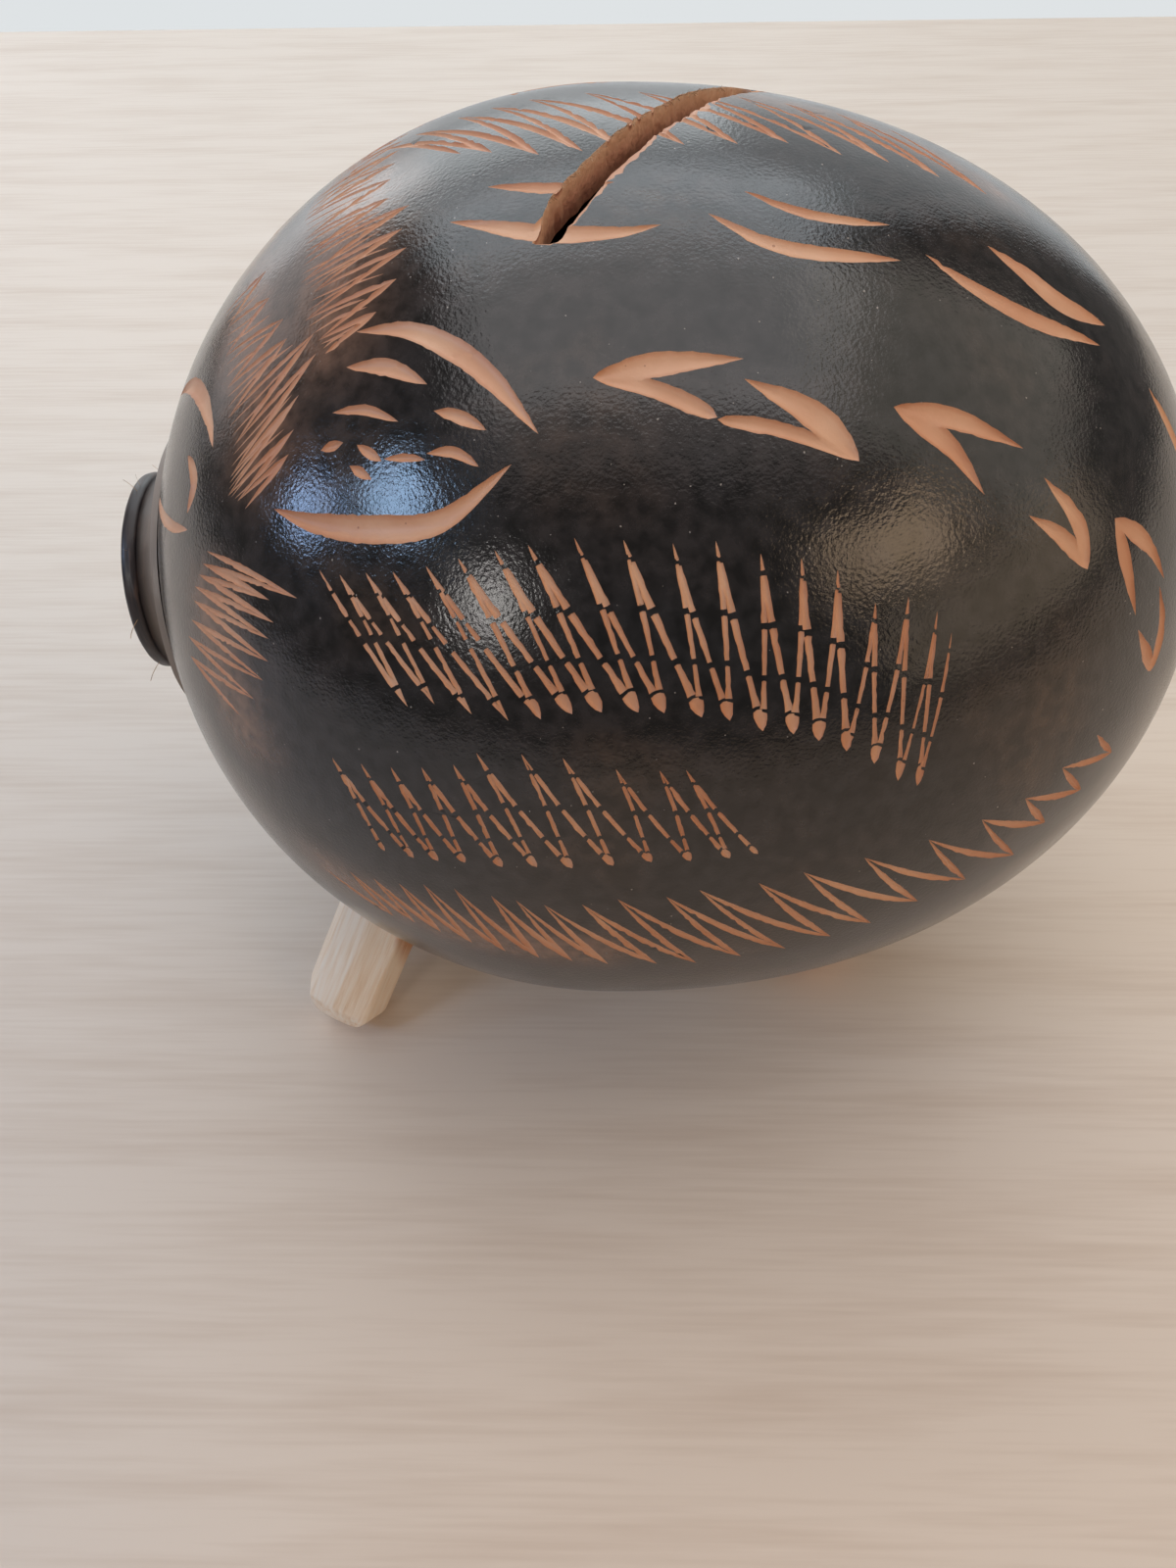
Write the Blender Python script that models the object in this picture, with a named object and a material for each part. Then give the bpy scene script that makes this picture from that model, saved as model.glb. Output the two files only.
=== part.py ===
# A pig-shaped money bank made from one round fruit shell.
# The hollow shell lies along X with its head towards -X, and +Z is up.
# A waisted collar forms the snout, a stopper with two nostrils closes it,
# and four whittled pegs carry the bank. The feet stand on Z = 0.
# All lengths are in metres and all angles in radians.

import math

import bmesh
import bpy
from mathutils import Matrix, Vector

# The shell is an ovoid turned about X: its widest ring lies between nose and tail.
body_radius = 0.0525
nose_length = 0.0538
tail_length = 0.0682
nose_fullness = 2.0
tail_fullness = 2.2
wall = 0.0035
belly_clearance = 0.0075

# The coin slot is a straight kerf across the back, turned away from square.
slot_length = 0.0400
slot_width = 0.0033
slot_turn = math.radians(32)
slot_station = 0.0041

# The snout collar is a waisted ring with a flared rim.
rim_radius = 0.0121
rim_thickness = 0.0019
rim_round = 0.0006
rim_reach = 0.0036
waist_radius = 0.0114
waist_behind_rim = 0.0012
collar_base_radius = 0.0178
collar_base_edge = 0.0011

# The stopper has a flat head that sits in the rim and a spigot that fills the bore.
head_radius = 0.0095
head_thickness = 0.0024
head_round = 0.0005
head_seat_depth = 0.0018
spigot_radius = 0.0080
spigot_length = 0.0075
spigot_chamfer = 0.0008
nostril_radius = 0.0018
nostril_depth = 0.0034
nostril_spacing = 0.0088

# Each leg is an eight-sided whittled peg with a round tenon and a rounded foot.
# Stations and offsets are measured from the middle of the shell's widest ring.
leg_radius = 0.0062
leg_facets = 8
facet_share = 0.78
tenon_radius = 0.0040
tenon_past_wall = 0.0012
foot_centre_height = 0.0052
front_leg_station = -0.0302
front_leg_offset = 0.0200
front_foot_station = -0.0382
front_foot_offset = 0.0285
rear_leg_station = 0.0260
rear_leg_offset = 0.0135
rear_foot_station = 0.0300
rear_foot_offset = 0.0190

# One running clearance keeps every piece off its neighbour.
clearance = 0.0003

# Facet counts of the round forms.
body_segments = 48
outer_rings = 24
inner_rings = 16
ring_segments = 48
tenon_segments = 20
foot_rings = 4
curve_steps = 5
corner_steps = 2

# Places that follow from the sizes above.
rim_front = -nose_length - rim_reach
head_front = rim_front + head_seat_depth - clearance - head_thickness
body_height = body_radius + belly_clearance
body_middle = Vector(((-head_front - tail_length) / 2, 0, body_height))
bore_radius = spigot_radius + clearance
head_seat_radius = head_radius + clearance


def clear_scene():
    for item in list(bpy.data.objects):
        bpy.data.objects.remove(item, do_unlink=True)


def make_material(name, colour, roughness, metallic=0.0):
    material = bpy.data.materials.new(name)
    material.use_nodes = True
    shader = material.node_tree.nodes["Principled BSDF"]
    shader.inputs["Base Color"].default_value = (*colour, 1.0)
    shader.inputs["Roughness"].default_value = roughness
    shader.inputs["Metallic"].default_value = metallic
    material.diffuse_color = (*colour, 1.0)
    return material


def add_object(name, mesh_data, material=None, matrix=None):
    mesh = bpy.data.meshes.new(name)
    mesh_data.to_mesh(mesh)
    mesh_data.free()
    if material is not None:
        mesh.materials.append(material)
    item = bpy.data.objects.new(name, mesh)
    if matrix is not None:
        item.matrix_world = matrix
    bpy.context.scene.collection.objects.link(item)
    return item


def add_cutter(name, mesh_data, matrix=None):
    cutter = add_object(name, mesh_data, matrix=matrix)
    cutter.hide_render = True
    cutter.display_type = "WIRE"
    return cutter


def add_boolean(item, tool, operation):
    modifier = item.modifiers.new(operation.capitalize() + " " + tool.name, "BOOLEAN")
    modifier.operation = operation
    modifier.solver = "EXACT"
    modifier.object = tool


def shade_round(item, angle=math.radians(35)):
    item.data.shade_smooth()
    item.data.set_sharp_from_angle(angle=angle)


# The point of the ovoid's outline at the turn t, from the nose at -90 degrees to
# the tail at +90 degrees, moved out along the surface's normal by the growth.
def ovoid_point(t, growth=0.0):
    length = nose_length if t < 0 else tail_length
    share = 2.0 / (nose_fullness if t < 0 else tail_fullness)
    sine = abs(math.sin(t))
    cosine = math.cos(t)
    if sine < 1e-6:
        return 0.0, body_radius + growth
    normal = Vector((body_radius * sine, length * share * sine ** (share - 1.0) * cosine))
    normal.normalize()
    station = length * sine ** share + growth * normal.x
    return math.copysign(station, t), body_radius * cosine + growth * normal.y


# The turn at which the nose end of the ovoid has the given radius.
def nose_turn(radius, growth):
    low = -math.pi / 2
    high = 0.0
    for _ in range(50):
        middle = (low + high) / 2
        if ovoid_point(middle, growth)[1] < radius:
            low = middle
        else:
            high = middle
    return (low + high) / 2


# The outline from the tail's pole over the widest ring to the turn at the nose.
def ovoid_outline(rings, growth, last_turn):
    half = rings // 2
    tail_turns = [math.pi / 2 * (1 - i / half) for i in range(half)]
    nose_turns = [last_turn * i / half for i in range(half + 1)]
    return [ovoid_point(t, growth) for t in tail_turns + nose_turns]


def ovoid_radius(station):
    length = nose_length if station < 0 else tail_length
    fullness = nose_fullness if station < 0 else tail_fullness
    return body_radius * math.sqrt(1.0 - (abs(station) / length) ** fullness)


# A closed solid turned about X. The outline's points are pairs of station and radius,
# and a point on the axis becomes one vertex.
def turned(outline, segments, closed=False):
    mesh_data = bmesh.new()
    rows = []
    for station, radius in outline:
        if radius < 1e-7:
            rows.append([mesh_data.verts.new((station, 0, 0))])
            continue
        row = []
        for i in range(segments):
            angle = 2 * math.pi * i / segments
            place = (station, radius * math.cos(angle), radius * math.sin(angle))
            row.append(mesh_data.verts.new(place))
        rows.append(row)
    pairs = list(zip(rows, rows[1:]))
    if closed:
        pairs.append((rows[-1], rows[0]))
    for row, following in pairs:
        for i in range(segments):
            j = (i + 1) % segments
            corners = [row[i % len(row)], row[j % len(row)]]
            corners += [following[j % len(following)], following[i % len(following)]]
            face = list(dict.fromkeys(corners))
            mesh_data.faces.new(face)
    bmesh.ops.recalc_face_normals(mesh_data, faces=mesh_data.faces)
    return mesh_data


# A closed prism or cylinder along local Z between two heights.
def straight_bar(radius, low, high, segments):
    mesh_data = bmesh.new()
    bmesh.ops.create_cone(
        mesh_data, cap_ends=True, segments=segments, radius1=radius, radius2=radius,
        depth=high - low, matrix=Matrix.Translation((0, 0, (low + high) / 2)))
    return mesh_data


def box(size):
    mesh_data = bmesh.new()
    bmesh.ops.create_cube(mesh_data, size=1.0, matrix=Matrix.Diagonal((*size, 1.0)))
    return mesh_data


# The frame of a leg: its origin is where the leg's axis meets the shell's skin, and
# its Z axis runs down the leg. The reach is the distance to the foot's centre.
def leg_frame(station, offset, foot_station, foot_offset, side):
    drop = math.sqrt(ovoid_radius(station) ** 2 - offset ** 2)
    entry = body_middle + Vector((station, side * offset, -drop))
    foot = Vector((body_middle.x + foot_station, side * foot_offset, foot_centre_height))
    down = (foot - entry).normalized()
    across = Vector((0, 1, 0)).cross(down).normalized()
    turn = Matrix((across, down.cross(across), down)).transposed().to_4x4()
    return Matrix.Translation(entry) @ turn, (foot - entry).length


# The whittled peg: broad flats with narrow corners between them, and a rounded foot.
def whittled_peg(reach):
    half_flat = math.pi / leg_facets * facet_share
    angles = []
    for i in range(leg_facets):
        middle = 2 * math.pi * i / leg_facets
        angles += [middle - half_flat, middle + half_flat]
    rows = [(-leg_radius - wall, leg_radius), (reach, leg_radius)]
    for i in range(1, foot_rings + 1):
        turn = math.radians(80) * i / foot_rings
        rows.append((reach + leg_radius * math.sin(turn), leg_radius * math.cos(turn)))
    mesh_data = bmesh.new()
    rings = []
    for height, radius in rows:
        ring = [mesh_data.verts.new((radius * math.cos(a), radius * math.sin(a), height)) for a in angles]
        rings.append(ring)
    count = len(angles)
    for lower, upper in zip(rings, rings[1:]):
        for i in range(count):
            j = (i + 1) % count
            mesh_data.faces.new((lower[i], lower[j], upper[j], upper[i]))
    mesh_data.faces.new(reversed(rings[0]))
    mesh_data.faces.new(rings[-1])
    bmesh.ops.recalc_face_normals(mesh_data, faces=mesh_data.faces)
    return mesh_data


def add_leg(name, frame, reach, material, skin_cutter, floor_cutter):
    leg = add_object(name, whittled_peg(reach), material, frame)
    add_boolean(leg, skin_cutter, "DIFFERENCE")
    tenon = straight_bar(tenon_radius, -wall - tenon_past_wall, reach / 2, tenon_segments)
    add_boolean(leg, add_cutter("tenon of " + name, tenon, frame), "UNION")
    add_boolean(leg, floor_cutter, "DIFFERENCE")
    shade_round(leg, math.radians(15))


# The shell, open at the bore in its nose, with the slot and the leg sockets cut out.
def add_shell(material, leg_frames):
    outer = ovoid_outline(outer_rings, 0.0, nose_turn(bore_radius, 0.0))
    inner = ovoid_outline(inner_rings, -wall, nose_turn(bore_radius, -wall))
    skin = turned(outer + inner[::-1], body_segments)
    shell = add_object("shell", skin, material, Matrix.Translation(body_middle))
    crown = body_middle + Vector((slot_station, 0, body_radius))
    slot_place = Matrix.Translation(crown) @ Matrix.Rotation(-slot_turn, 4, "Z")
    slot = box((slot_width, slot_length, body_radius))
    add_boolean(shell, add_cutter("coin slot", slot, slot_place), "DIFFERENCE")
    for name, (frame, _) in leg_frames.items():
        socket = straight_bar(tenon_radius + clearance, -3 * wall, 2 * wall, tenon_segments)
        add_boolean(shell, add_cutter("socket of " + name, socket, frame), "DIFFERENCE")
    shade_round(shell)


# The station of the nose's skin at a radius, a clearance outside the shell.
def seat_station(radius):
    return ovoid_point(nose_turn(radius, clearance), clearance)[0]


# The collar's outline runs from its base on the skin, in through the waist, out to the
# rounded rim, over the front and back through the head's seat and the bore. Its neck
# thickens from the edge of the base to the waist.
def add_collar(material, skin_cutter):
    waist = rim_front + rim_thickness + waist_behind_rim
    waist_depth = seat_station(waist_radius) - waist
    seat = rim_front + head_seat_depth
    inside = seat_station(collar_base_radius) + wall
    outline = [(inside, bore_radius), (inside, collar_base_radius)]
    for i in range(curve_steps + 1):
        turn = math.pi / 2 * i / curve_steps
        radius = collar_base_radius - (collar_base_radius - waist_radius) * math.sin(turn)
        depth = waist_depth + (collar_base_edge - waist_depth) * math.cos(turn)
        outline.append((seat_station(radius) - depth, radius))
    for i in range(1, curve_steps + 1):
        turn = math.pi / 2 * i / curve_steps
        station = waist - waist_behind_rim * math.sin(turn)
        radius = waist_radius + (rim_radius - waist_radius) * (1 - math.cos(turn))
        outline.append((station, radius))
    outline += rounded_edge(rim_front, rim_radius, rim_round)
    outline += [(rim_front, head_seat_radius), (seat, head_seat_radius), (seat, bore_radius)]
    collar = add_object(
        "snout_collar", turned(outline, ring_segments, closed=True), material,
        Matrix.Translation(body_middle))
    add_boolean(collar, skin_cutter, "DIFFERENCE")
    shade_round(collar)


# The corner between a rim and a front face, as a quarter circle from rim to face.
def rounded_edge(front, radius, corner):
    points = []
    for i in range(corner_steps + 1):
        turn = math.pi / 2 * i / corner_steps
        points.append((front + corner * (1 - math.sin(turn)), radius - corner * (1 - math.cos(turn))))
    return points


# The stopper's origin is the middle of its front face, on the axis that it slides along.
def add_plug(material):
    outline = [(0.0, 0.0)]
    outline += rounded_edge(0.0, head_radius, head_round)[::-1]
    outline.append((head_thickness, head_radius))
    outline.append((head_thickness, spigot_radius))
    outline.append((head_thickness + spigot_length - spigot_chamfer, spigot_radius))
    outline.append((head_thickness + spigot_length, spigot_radius - spigot_chamfer))
    outline.append((head_thickness + spigot_length, 0.0))
    place = Matrix.Translation(body_middle + Vector((head_front, 0, 0)))
    plug = add_object("snout_plug", turned(outline, ring_segments), material, place)
    quarter_turn = Matrix.Rotation(math.pi / 2, 4, "Y")
    for side, label in ((-1, "right"), (1, "left")):
        hole = straight_bar(nostril_radius, -nostril_depth, nostril_depth, tenon_segments)
        hole_place = place @ Matrix.Translation((0, side * nostril_spacing / 2, 0)) @ quarter_turn
        add_boolean(plug, add_cutter("nostril " + label, hole, hole_place), "DIFFERENCE")
    shade_round(plug)


def build():
    clear_scene()
    skin_finish = make_material("dyed fruit shell", (0.030, 0.019, 0.015), 0.32)
    snout_finish = make_material("dyed shell ring", (0.026, 0.018, 0.016), 0.40)
    peg_finish = make_material("whittled pale wood", (0.62, 0.37, 0.19), 0.55)

    grown = ovoid_outline(outer_rings, clearance, -math.pi / 2)
    skin_cutter = add_cutter("skin", turned(grown, body_segments), Matrix.Translation(body_middle))
    below_floor = Matrix.Translation((0, 0, -body_radius))
    floor_cutter = add_cutter("floor", box((4 * body_radius, 4 * body_radius, 2 * body_radius)), below_floor)

    front = (front_leg_station, front_leg_offset, front_foot_station, front_foot_offset)
    rear = (rear_leg_station, rear_leg_offset, rear_foot_station, rear_foot_offset)
    leg_frames = {
        "leg_front_right": leg_frame(*front, -1),
        "leg_front_left": leg_frame(*front, 1),
        "leg_rear_right": leg_frame(*rear, -1),
        "leg_rear_left": leg_frame(*rear, 1),
    }
    add_shell(skin_finish, leg_frames)
    add_collar(snout_finish, skin_cutter)
    add_plug(snout_finish)
    for name, (frame, reach) in leg_frames.items():
        add_leg(name, frame, reach, peg_finish, skin_cutter, floor_cutter)


build()
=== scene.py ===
# A pig-shaped money bank made from one dark round fruit shell, dressed for its picture.
# The frame is in metres; the shapes below are worked out in millimetres.
import math
import random
from collections import Counter

import bmesh
import bpy
import numpy as np
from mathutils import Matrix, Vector, noise
from mathutils.geometry import delaunay_2d_cdt
from mathutils.kdtree import KDTree


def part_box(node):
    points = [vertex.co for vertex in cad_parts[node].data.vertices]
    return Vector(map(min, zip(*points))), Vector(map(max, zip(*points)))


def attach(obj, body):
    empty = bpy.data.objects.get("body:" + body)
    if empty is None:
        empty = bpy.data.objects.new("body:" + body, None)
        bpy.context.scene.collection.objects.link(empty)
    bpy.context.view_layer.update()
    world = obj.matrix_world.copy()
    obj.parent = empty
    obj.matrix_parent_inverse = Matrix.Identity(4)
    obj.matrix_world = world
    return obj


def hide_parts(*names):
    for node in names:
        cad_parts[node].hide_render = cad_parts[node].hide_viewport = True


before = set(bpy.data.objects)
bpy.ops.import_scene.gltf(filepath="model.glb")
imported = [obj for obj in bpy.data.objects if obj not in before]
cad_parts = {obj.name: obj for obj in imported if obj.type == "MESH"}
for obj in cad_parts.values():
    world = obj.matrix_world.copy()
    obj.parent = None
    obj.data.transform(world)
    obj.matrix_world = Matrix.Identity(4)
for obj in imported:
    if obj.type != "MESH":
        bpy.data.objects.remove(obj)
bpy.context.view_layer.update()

mm = 0.001


# sRGB hex to the linear colour that a shader socket takes
def colour(hexText):
    parts = [int(hexText[i:i + 2], 16) / 255 for i in (1, 3, 5)]
    return tuple(p / 12.92 if p <= 0.04045 else ((p + 0.055) / 1.055) ** 2.4 for p in parts) + (1.0,)


# sets or links a node's inputs by name or number; a node given as a value stands for its first live output
def fill(tree, node, inputs):
    for name, value in inputs.items():
        if isinstance(value, bpy.types.Node):
            value = next(output for output in value.outputs if output.enabled)
        if isinstance(value, bpy.types.NodeSocket):
            tree.links.new(value, node.inputs[name])
        else:
            node.inputs[name].default_value = value


# adds a node with its inputs and its settings; stops are a colour ramp's places and hex colours
def addNode(tree, kind, inputs={}, stops=(), **settings):
    node = tree.nodes.new(kind)
    for name, value in settings.items():
        setattr(node, name, value)
    for i, (place, hexText) in enumerate(stops):
        ramp = node.color_ramp.elements
        stop = ramp[i] if i < len(ramp) else ramp.new(1.0)
        stop.position, stop.color = place, colour(hexText)
    fill(tree, node, inputs)
    return node


factor, under, over = 0, 6, 7       # the inputs of a Mix node for colours


def newMaterial(name):
    material = bpy.data.materials.new(name)
    material.use_nodes = True
    tree = material.node_tree
    return material, tree, tree.nodes["Principled BSDF"]


def toScene(name, data):
    made = bpy.data.objects.new(name, data)
    bpy.context.scene.collection.objects.link(made)
    return made


def newPiece(name, mesh, materials):
    piece = toScene(name, mesh)
    for material in materials:
        mesh.materials.append(material)
    return piece


# a number, or a row of width numbers, for each of a mesh's items
def readNumbers(items, name, kind=float, width=1):
    numbers = np.zeros(len(items) * width, kind)
    items.foreach_get(name, numbers)
    return numbers if width == 1 else numbers.reshape(-1, width)


def addAttribute(mesh, name, values):
    kind, field = ("FLOAT_VECTOR", "vector") if np.ndim(values) == 2 else ("FLOAT", "value")
    attribute = mesh.attributes.new(name, kind, "POINT")
    attribute.data.foreach_set(field, np.asarray(values, np.float32).ravel())


# camera: where the photographer's phone was, read from the outline of the shell
cameraPlace = {
    "fromMiddle": (0.0, -113.47, 95.21),   # mm from the middle of the shell's widest ring
    "turn": (39.43, 0.89, 0.73),           # degrees about X, Y and Z
    "lens": 26.48,
    "sensor": 36.0,
}

# the shell's own form, measured on the frame where it can be
shellForm = {
    "tailLength": 68.2,
    "noseFullness": 2.0,
    "tailFullness": 2.2,
    "wall": 3.5,
    "boreRadius": 8.3,
    "pointSpacing": 1.7,
    "innerSpacing": 5.0,
    "innerRoom": 1.0,      # how far the inside's free points keep from a hole
    "cutRoom": 0.45,       # how far free points keep from a cut, and how much further from a hole
    "holeRoom": 0.2,
    "tailRing": 1.2,       # radius of the last ring round the tail's pole
    "weldReach": 0.002,    # points nearer than this become one
    "halfRows": 3000,      # rows of the outline's table on either side of the widest ring
}
shellLow, shellHigh = (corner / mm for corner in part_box("shell"))
bodyRadius = (shellHigh.y - shellLow.y) / 2
middle = Vector((shellHigh.x - shellForm["tailLength"], 0, (shellHigh.z + shellLow.z) / 2))
origin = np.array(middle)      # the middle of the widest ring, where stations are counted from
boreShare = shellForm["boreRadius"] / bodyRadius
noseLength = (middle.x - shellLow.x) / (1 - boreShare ** 2) ** (1 / shellForm["noseFullness"])


def addCamera():
    data = bpy.data.cameras.new("camera")
    data.sensor_fit = "VERTICAL"
    data.sensor_height = cameraPlace["sensor"]
    data.lens = cameraPlace["lens"]
    data.clip_start = 0.01
    camera = toScene("camera", data)
    camera.location = (middle + Vector(cameraPlace["fromMiddle"])) * mm
    camera.rotation_euler = [math.radians(a) for a in cameraPlace["turn"]]
    bpy.context.scene.camera = camera


# outline of an ovoid of revolution: station x, radius r and length s along the skin from the widest ring
def ovoidTable(inset=0.0):
    turn = np.linspace(-math.pi / 2, math.pi / 2, 2 * shellForm["halfRows"] + 1)
    length = np.where(turn < 0, noseLength, shellForm["tailLength"]) - inset
    share = 2 / np.where(turn < 0, shellForm["noseFullness"], shellForm["tailFullness"])
    x = np.sign(turn) * length * np.abs(np.sin(turn)) ** share
    r = (bodyRadius - inset) * np.cos(turn)
    s = np.r_[0, np.cumsum(np.hypot(np.diff(x), np.diff(r)))]
    s -= np.interp(0, turn, s)
    return {"x": x, "r": r, "s": s, "dx": np.gradient(x, s), "dr": np.gradient(r, s)}


outerSkin = ovoidTable()
innerSkin = ovoidTable(shellForm["wall"])


# what a skin's table says where the nose's half, or the tail's, has the given radius
def atNose(skin, column, radius):
    rows = shellForm["halfRows"]
    return np.interp(radius, skin["r"][:rows], skin[column][:rows])


def atTail(skin, column, radius):
    rows = shellForm["halfRows"]
    return np.interp(radius, skin["r"][rows:][::-1], skin[column][rows:][::-1])


# how narrow the ring at u is beside the widest one
def squeezeAt(u):
    return np.interp(u, outerSkin["s"], outerSkin["r"]) / bodyRadius


# flat skin coordinates: u runs along the shell, v round it, and v is arc length at the widest ring
def toFlat(x, degrees):
    return np.interp(x, outerSkin["x"], outerSkin["s"]), np.radians(degrees) * bodyRadius


# the same for points given from the middle of the widest ring
def flatten(skin, at):
    return np.interp(at[:, 0], skin["x"], skin["s"]), np.arctan2(-at[:, 1], at[:, 2]) * bodyRadius


def toSpace(skin, u, v, sink=0.0):
    x = np.interp(u, skin["s"], skin["x"])
    r = np.interp(u, skin["s"], skin["r"])
    normal = skinNormal(skin, u, v)
    angle = v / bodyRadius
    place = np.column_stack([x, -r * np.sin(angle), r * np.cos(angle)])
    return place + origin - normal * np.reshape(sink, (-1, 1))


def skinNormal(skin, u, v):
    dx = np.interp(u, skin["s"], skin["dx"])
    dr = np.interp(u, skin["s"], skin["dr"])
    angle = v / bodyRadius
    normal = np.column_stack([-dr, -dx * np.sin(angle), dx * np.cos(angle)])
    return normal / np.linalg.norm(normal, axis=1)[:, None]


# where lines through the given points meet a skin; distances run along the direction
def meetSkin(skin, points, direction, reach=40.0):
    points = np.atleast_2d(points) - origin
    direction = np.array(direction, float)
    low = np.full(len(points), -reach)
    high = np.full(len(points), reach)
    for _ in range(50):
        halfway = (low + high) / 2
        at = points + halfway[:, None] * direction
        radius = np.interp(at[:, 0], skin["x"], skin["r"], left=-1, right=-1)
        outside = np.hypot(at[:, 1], at[:, 2]) > radius
        high = np.where(outside, halfway, high)
        low = np.where(outside, low, halfway)
    at = points + high[:, None] * direction
    return *flatten(skin, at), at + origin


# the ornament: each cut is a centre line in (mm from the widest ring, degrees from the ridge towards
# the pig's right side), with its widest width in mm
cuts = {
    "step": 0.6,           # distance between the points along a cut's edge
    "ragged": 0.03,        # how far the knife's edge wanders
    "depth": 0.3,
    "square": 0.05,        # length over which a bite closes at a gap
    "raggedFrom": 0.3,     # half width below which the edge wanders less
    "deepFrom": 0.35,      # half width below which the cut stays shallower
    "margin": 0.2,         # how far past its widest point a cut is looked for
    "bite": (0.95, 4),     # share of the half width at which the bite ends, and how square its floor is
    "arms": (0.94, 1.08),  # width of a zigzag's headward and tailward arm beside the band's own
    "armBend": 0.6,        # how much an arm's middle keeps to its upper tip
    "armStray": (0.88, 1.12),
    "breakStray": 0.01,
    "fillStart": (0.1, 0.35),      # how far down a faint line starts, how far it sways, and its width
    "fillSway": 0.6,
    "fillStray": (0.7, 1.2),
    "fillShape": {"peak": 0.4, "depth": 0.4},
    "thinnedArms": 4,      # how many of a band's last arms run out thinner
    "lensWidth": 1.1,      # the leaf vein and the ear are cut this much broader than their widths below
    "wearStep": 2.0,       # distance between the points of a scraped place's line
    "mirrorRoom": (6.0, 10, 35),   # degrees by which the left side's cuts make way, from where, over how many
}


def smoothLine(points, step):
    points = np.array(points, float)
    ends = np.vstack([2 * points[0] - points[1], points, 2 * points[-1] - points[-2]])
    dense = []
    for a, b, c, d in zip(ends, ends[1:], ends[2:], ends[3:]):
        for t in np.arange(0, 1, 1 / 12):
            bend = (2 * a - 5 * b + 4 * c - d) * t * t + (3 * b - a - 3 * c + d) * t ** 3
            dense.append(0.5 * (2 * b + (c - a) * t + bend))
    dense = np.array(dense + [points[-1]])
    along = np.r_[0, np.cumsum(np.hypot(*np.diff(dense, axis=0).T))]
    at = np.linspace(0, along[-1], max(5, int(along[-1] / step) + 1))
    return np.column_stack([np.interp(at, along, dense[:, 0]), np.interp(at, along, dense[:, 1])])


# one knife cut: a lens that is widest at the share peak of its length, or a form that gives its width at
# shares of its length; breaks are the shares where a chattering blade left the skin and met it again
def knifeCut(points, width, peak=0.5, full=0.8, form=None, breaks=(), depth=1.0):
    x, degrees = np.array(points, float).T
    line = smoothLine(np.column_stack(toFlat(x, degrees)), cuts["step"])
    squeeze = squeezeAt(line[:, 0])
    real = np.column_stack([line[:, 0], line[:, 1] * squeeze])
    along = np.r_[0, np.cumsum(np.hypot(*np.diff(real, axis=0).T))]
    share = along / along[-1]
    rise, fall = share / peak, (share - peak) / (1 - peak)
    swell = np.where(share < peak, np.sin(math.pi / 2 * rise), np.cos(math.pi / 2 * fall)).clip(0) ** full
    if form:
        swell = np.interp(share, *zip(*form))
    pieces = []
    edges = [0.0, *[b * along[-1] for pair in breaks for b in pair], along[-1]]
    for first, last in zip(edges[::2], edges[1::2]):
        blunt = [first > 0, last < along[-1]]
        count = max(4, int((last - first) / cuts["step"]) + 2)
        at = np.linspace(first, last, count)
        square = [first + cuts["square"]] * blunt[0] + [last - cuts["square"]] * blunt[1]
        at = np.sort(np.r_[at, square])
        half = np.interp(at, along, swell) * width / 2
        half[:1] *= not blunt[0]
        half[-1:] *= not blunt[1]
        flat = np.column_stack([np.interp(at, along, line[:, 0]), np.interp(at, along, line[:, 1])])
        pieces.append({"line": flat, "half": half, "depth": cuts["depth"] * depth})
    return pieces


# zigzag band: each upper tip is cut down to two neighbouring lower tips
def zigzag(band, chance):
    made = []
    upper, lower, offset = band["upper"], band["lower"], band["offset"]
    for i, top in enumerate(upper):
        shape = dict(band["headShape"] if i < band.get("headCount", 0) else band["shape"])
        breaks = shape.pop("breaks", ())
        thin = 1 - band.get("tailThin", 0) * max(0.0, 1 - (len(upper) - 1 - i) / cuts["thinnedArms"])
        for j, share, side in zip((i + offset, i + offset + 1), cuts["arms"], (1, -1)):
            if 0 <= j < len(lower):
                bend = np.array(top) * cuts["armBend"] + np.array(lower[j]) * (1 - cuts["armBend"])
                bend += (side * band.get("pinch", 0.0), 0)
                move = [chance.uniform(-cuts["breakStray"], cuts["breakStray"]) for _ in breaks]
                shaken = [(a + m, b + m) for (a, b), m in zip(breaks, move)]
                width = band["width"] * share * thin * chance.uniform(*cuts["armStray"])
                made += knifeCut([top, bend, lower[j]], width, breaks=shaken, **shape)
    for (top, nextTop), (low, nextLow) in zip(zip(upper, upper[1:]), zip(lower, lower[1:])):
        for share in band.get("fill", ()):
            start = np.array(top) * (1 - share) + np.array(nextTop) * share
            end = np.array(low) * (1 - share) + np.array(nextLow) * share
            start += (end - start) * chance.uniform(*cuts["fillStart"])
            halfway = (start + end) / 2 + (0, chance.uniform(-cuts["fillSway"], cuts["fillSway"]))
            width = band["fillWidth"] * chance.uniform(*cuts["fillStray"])
            made += knifeCut([start, halfway, end], width, **cuts["fillShape"])
    return made


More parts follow.
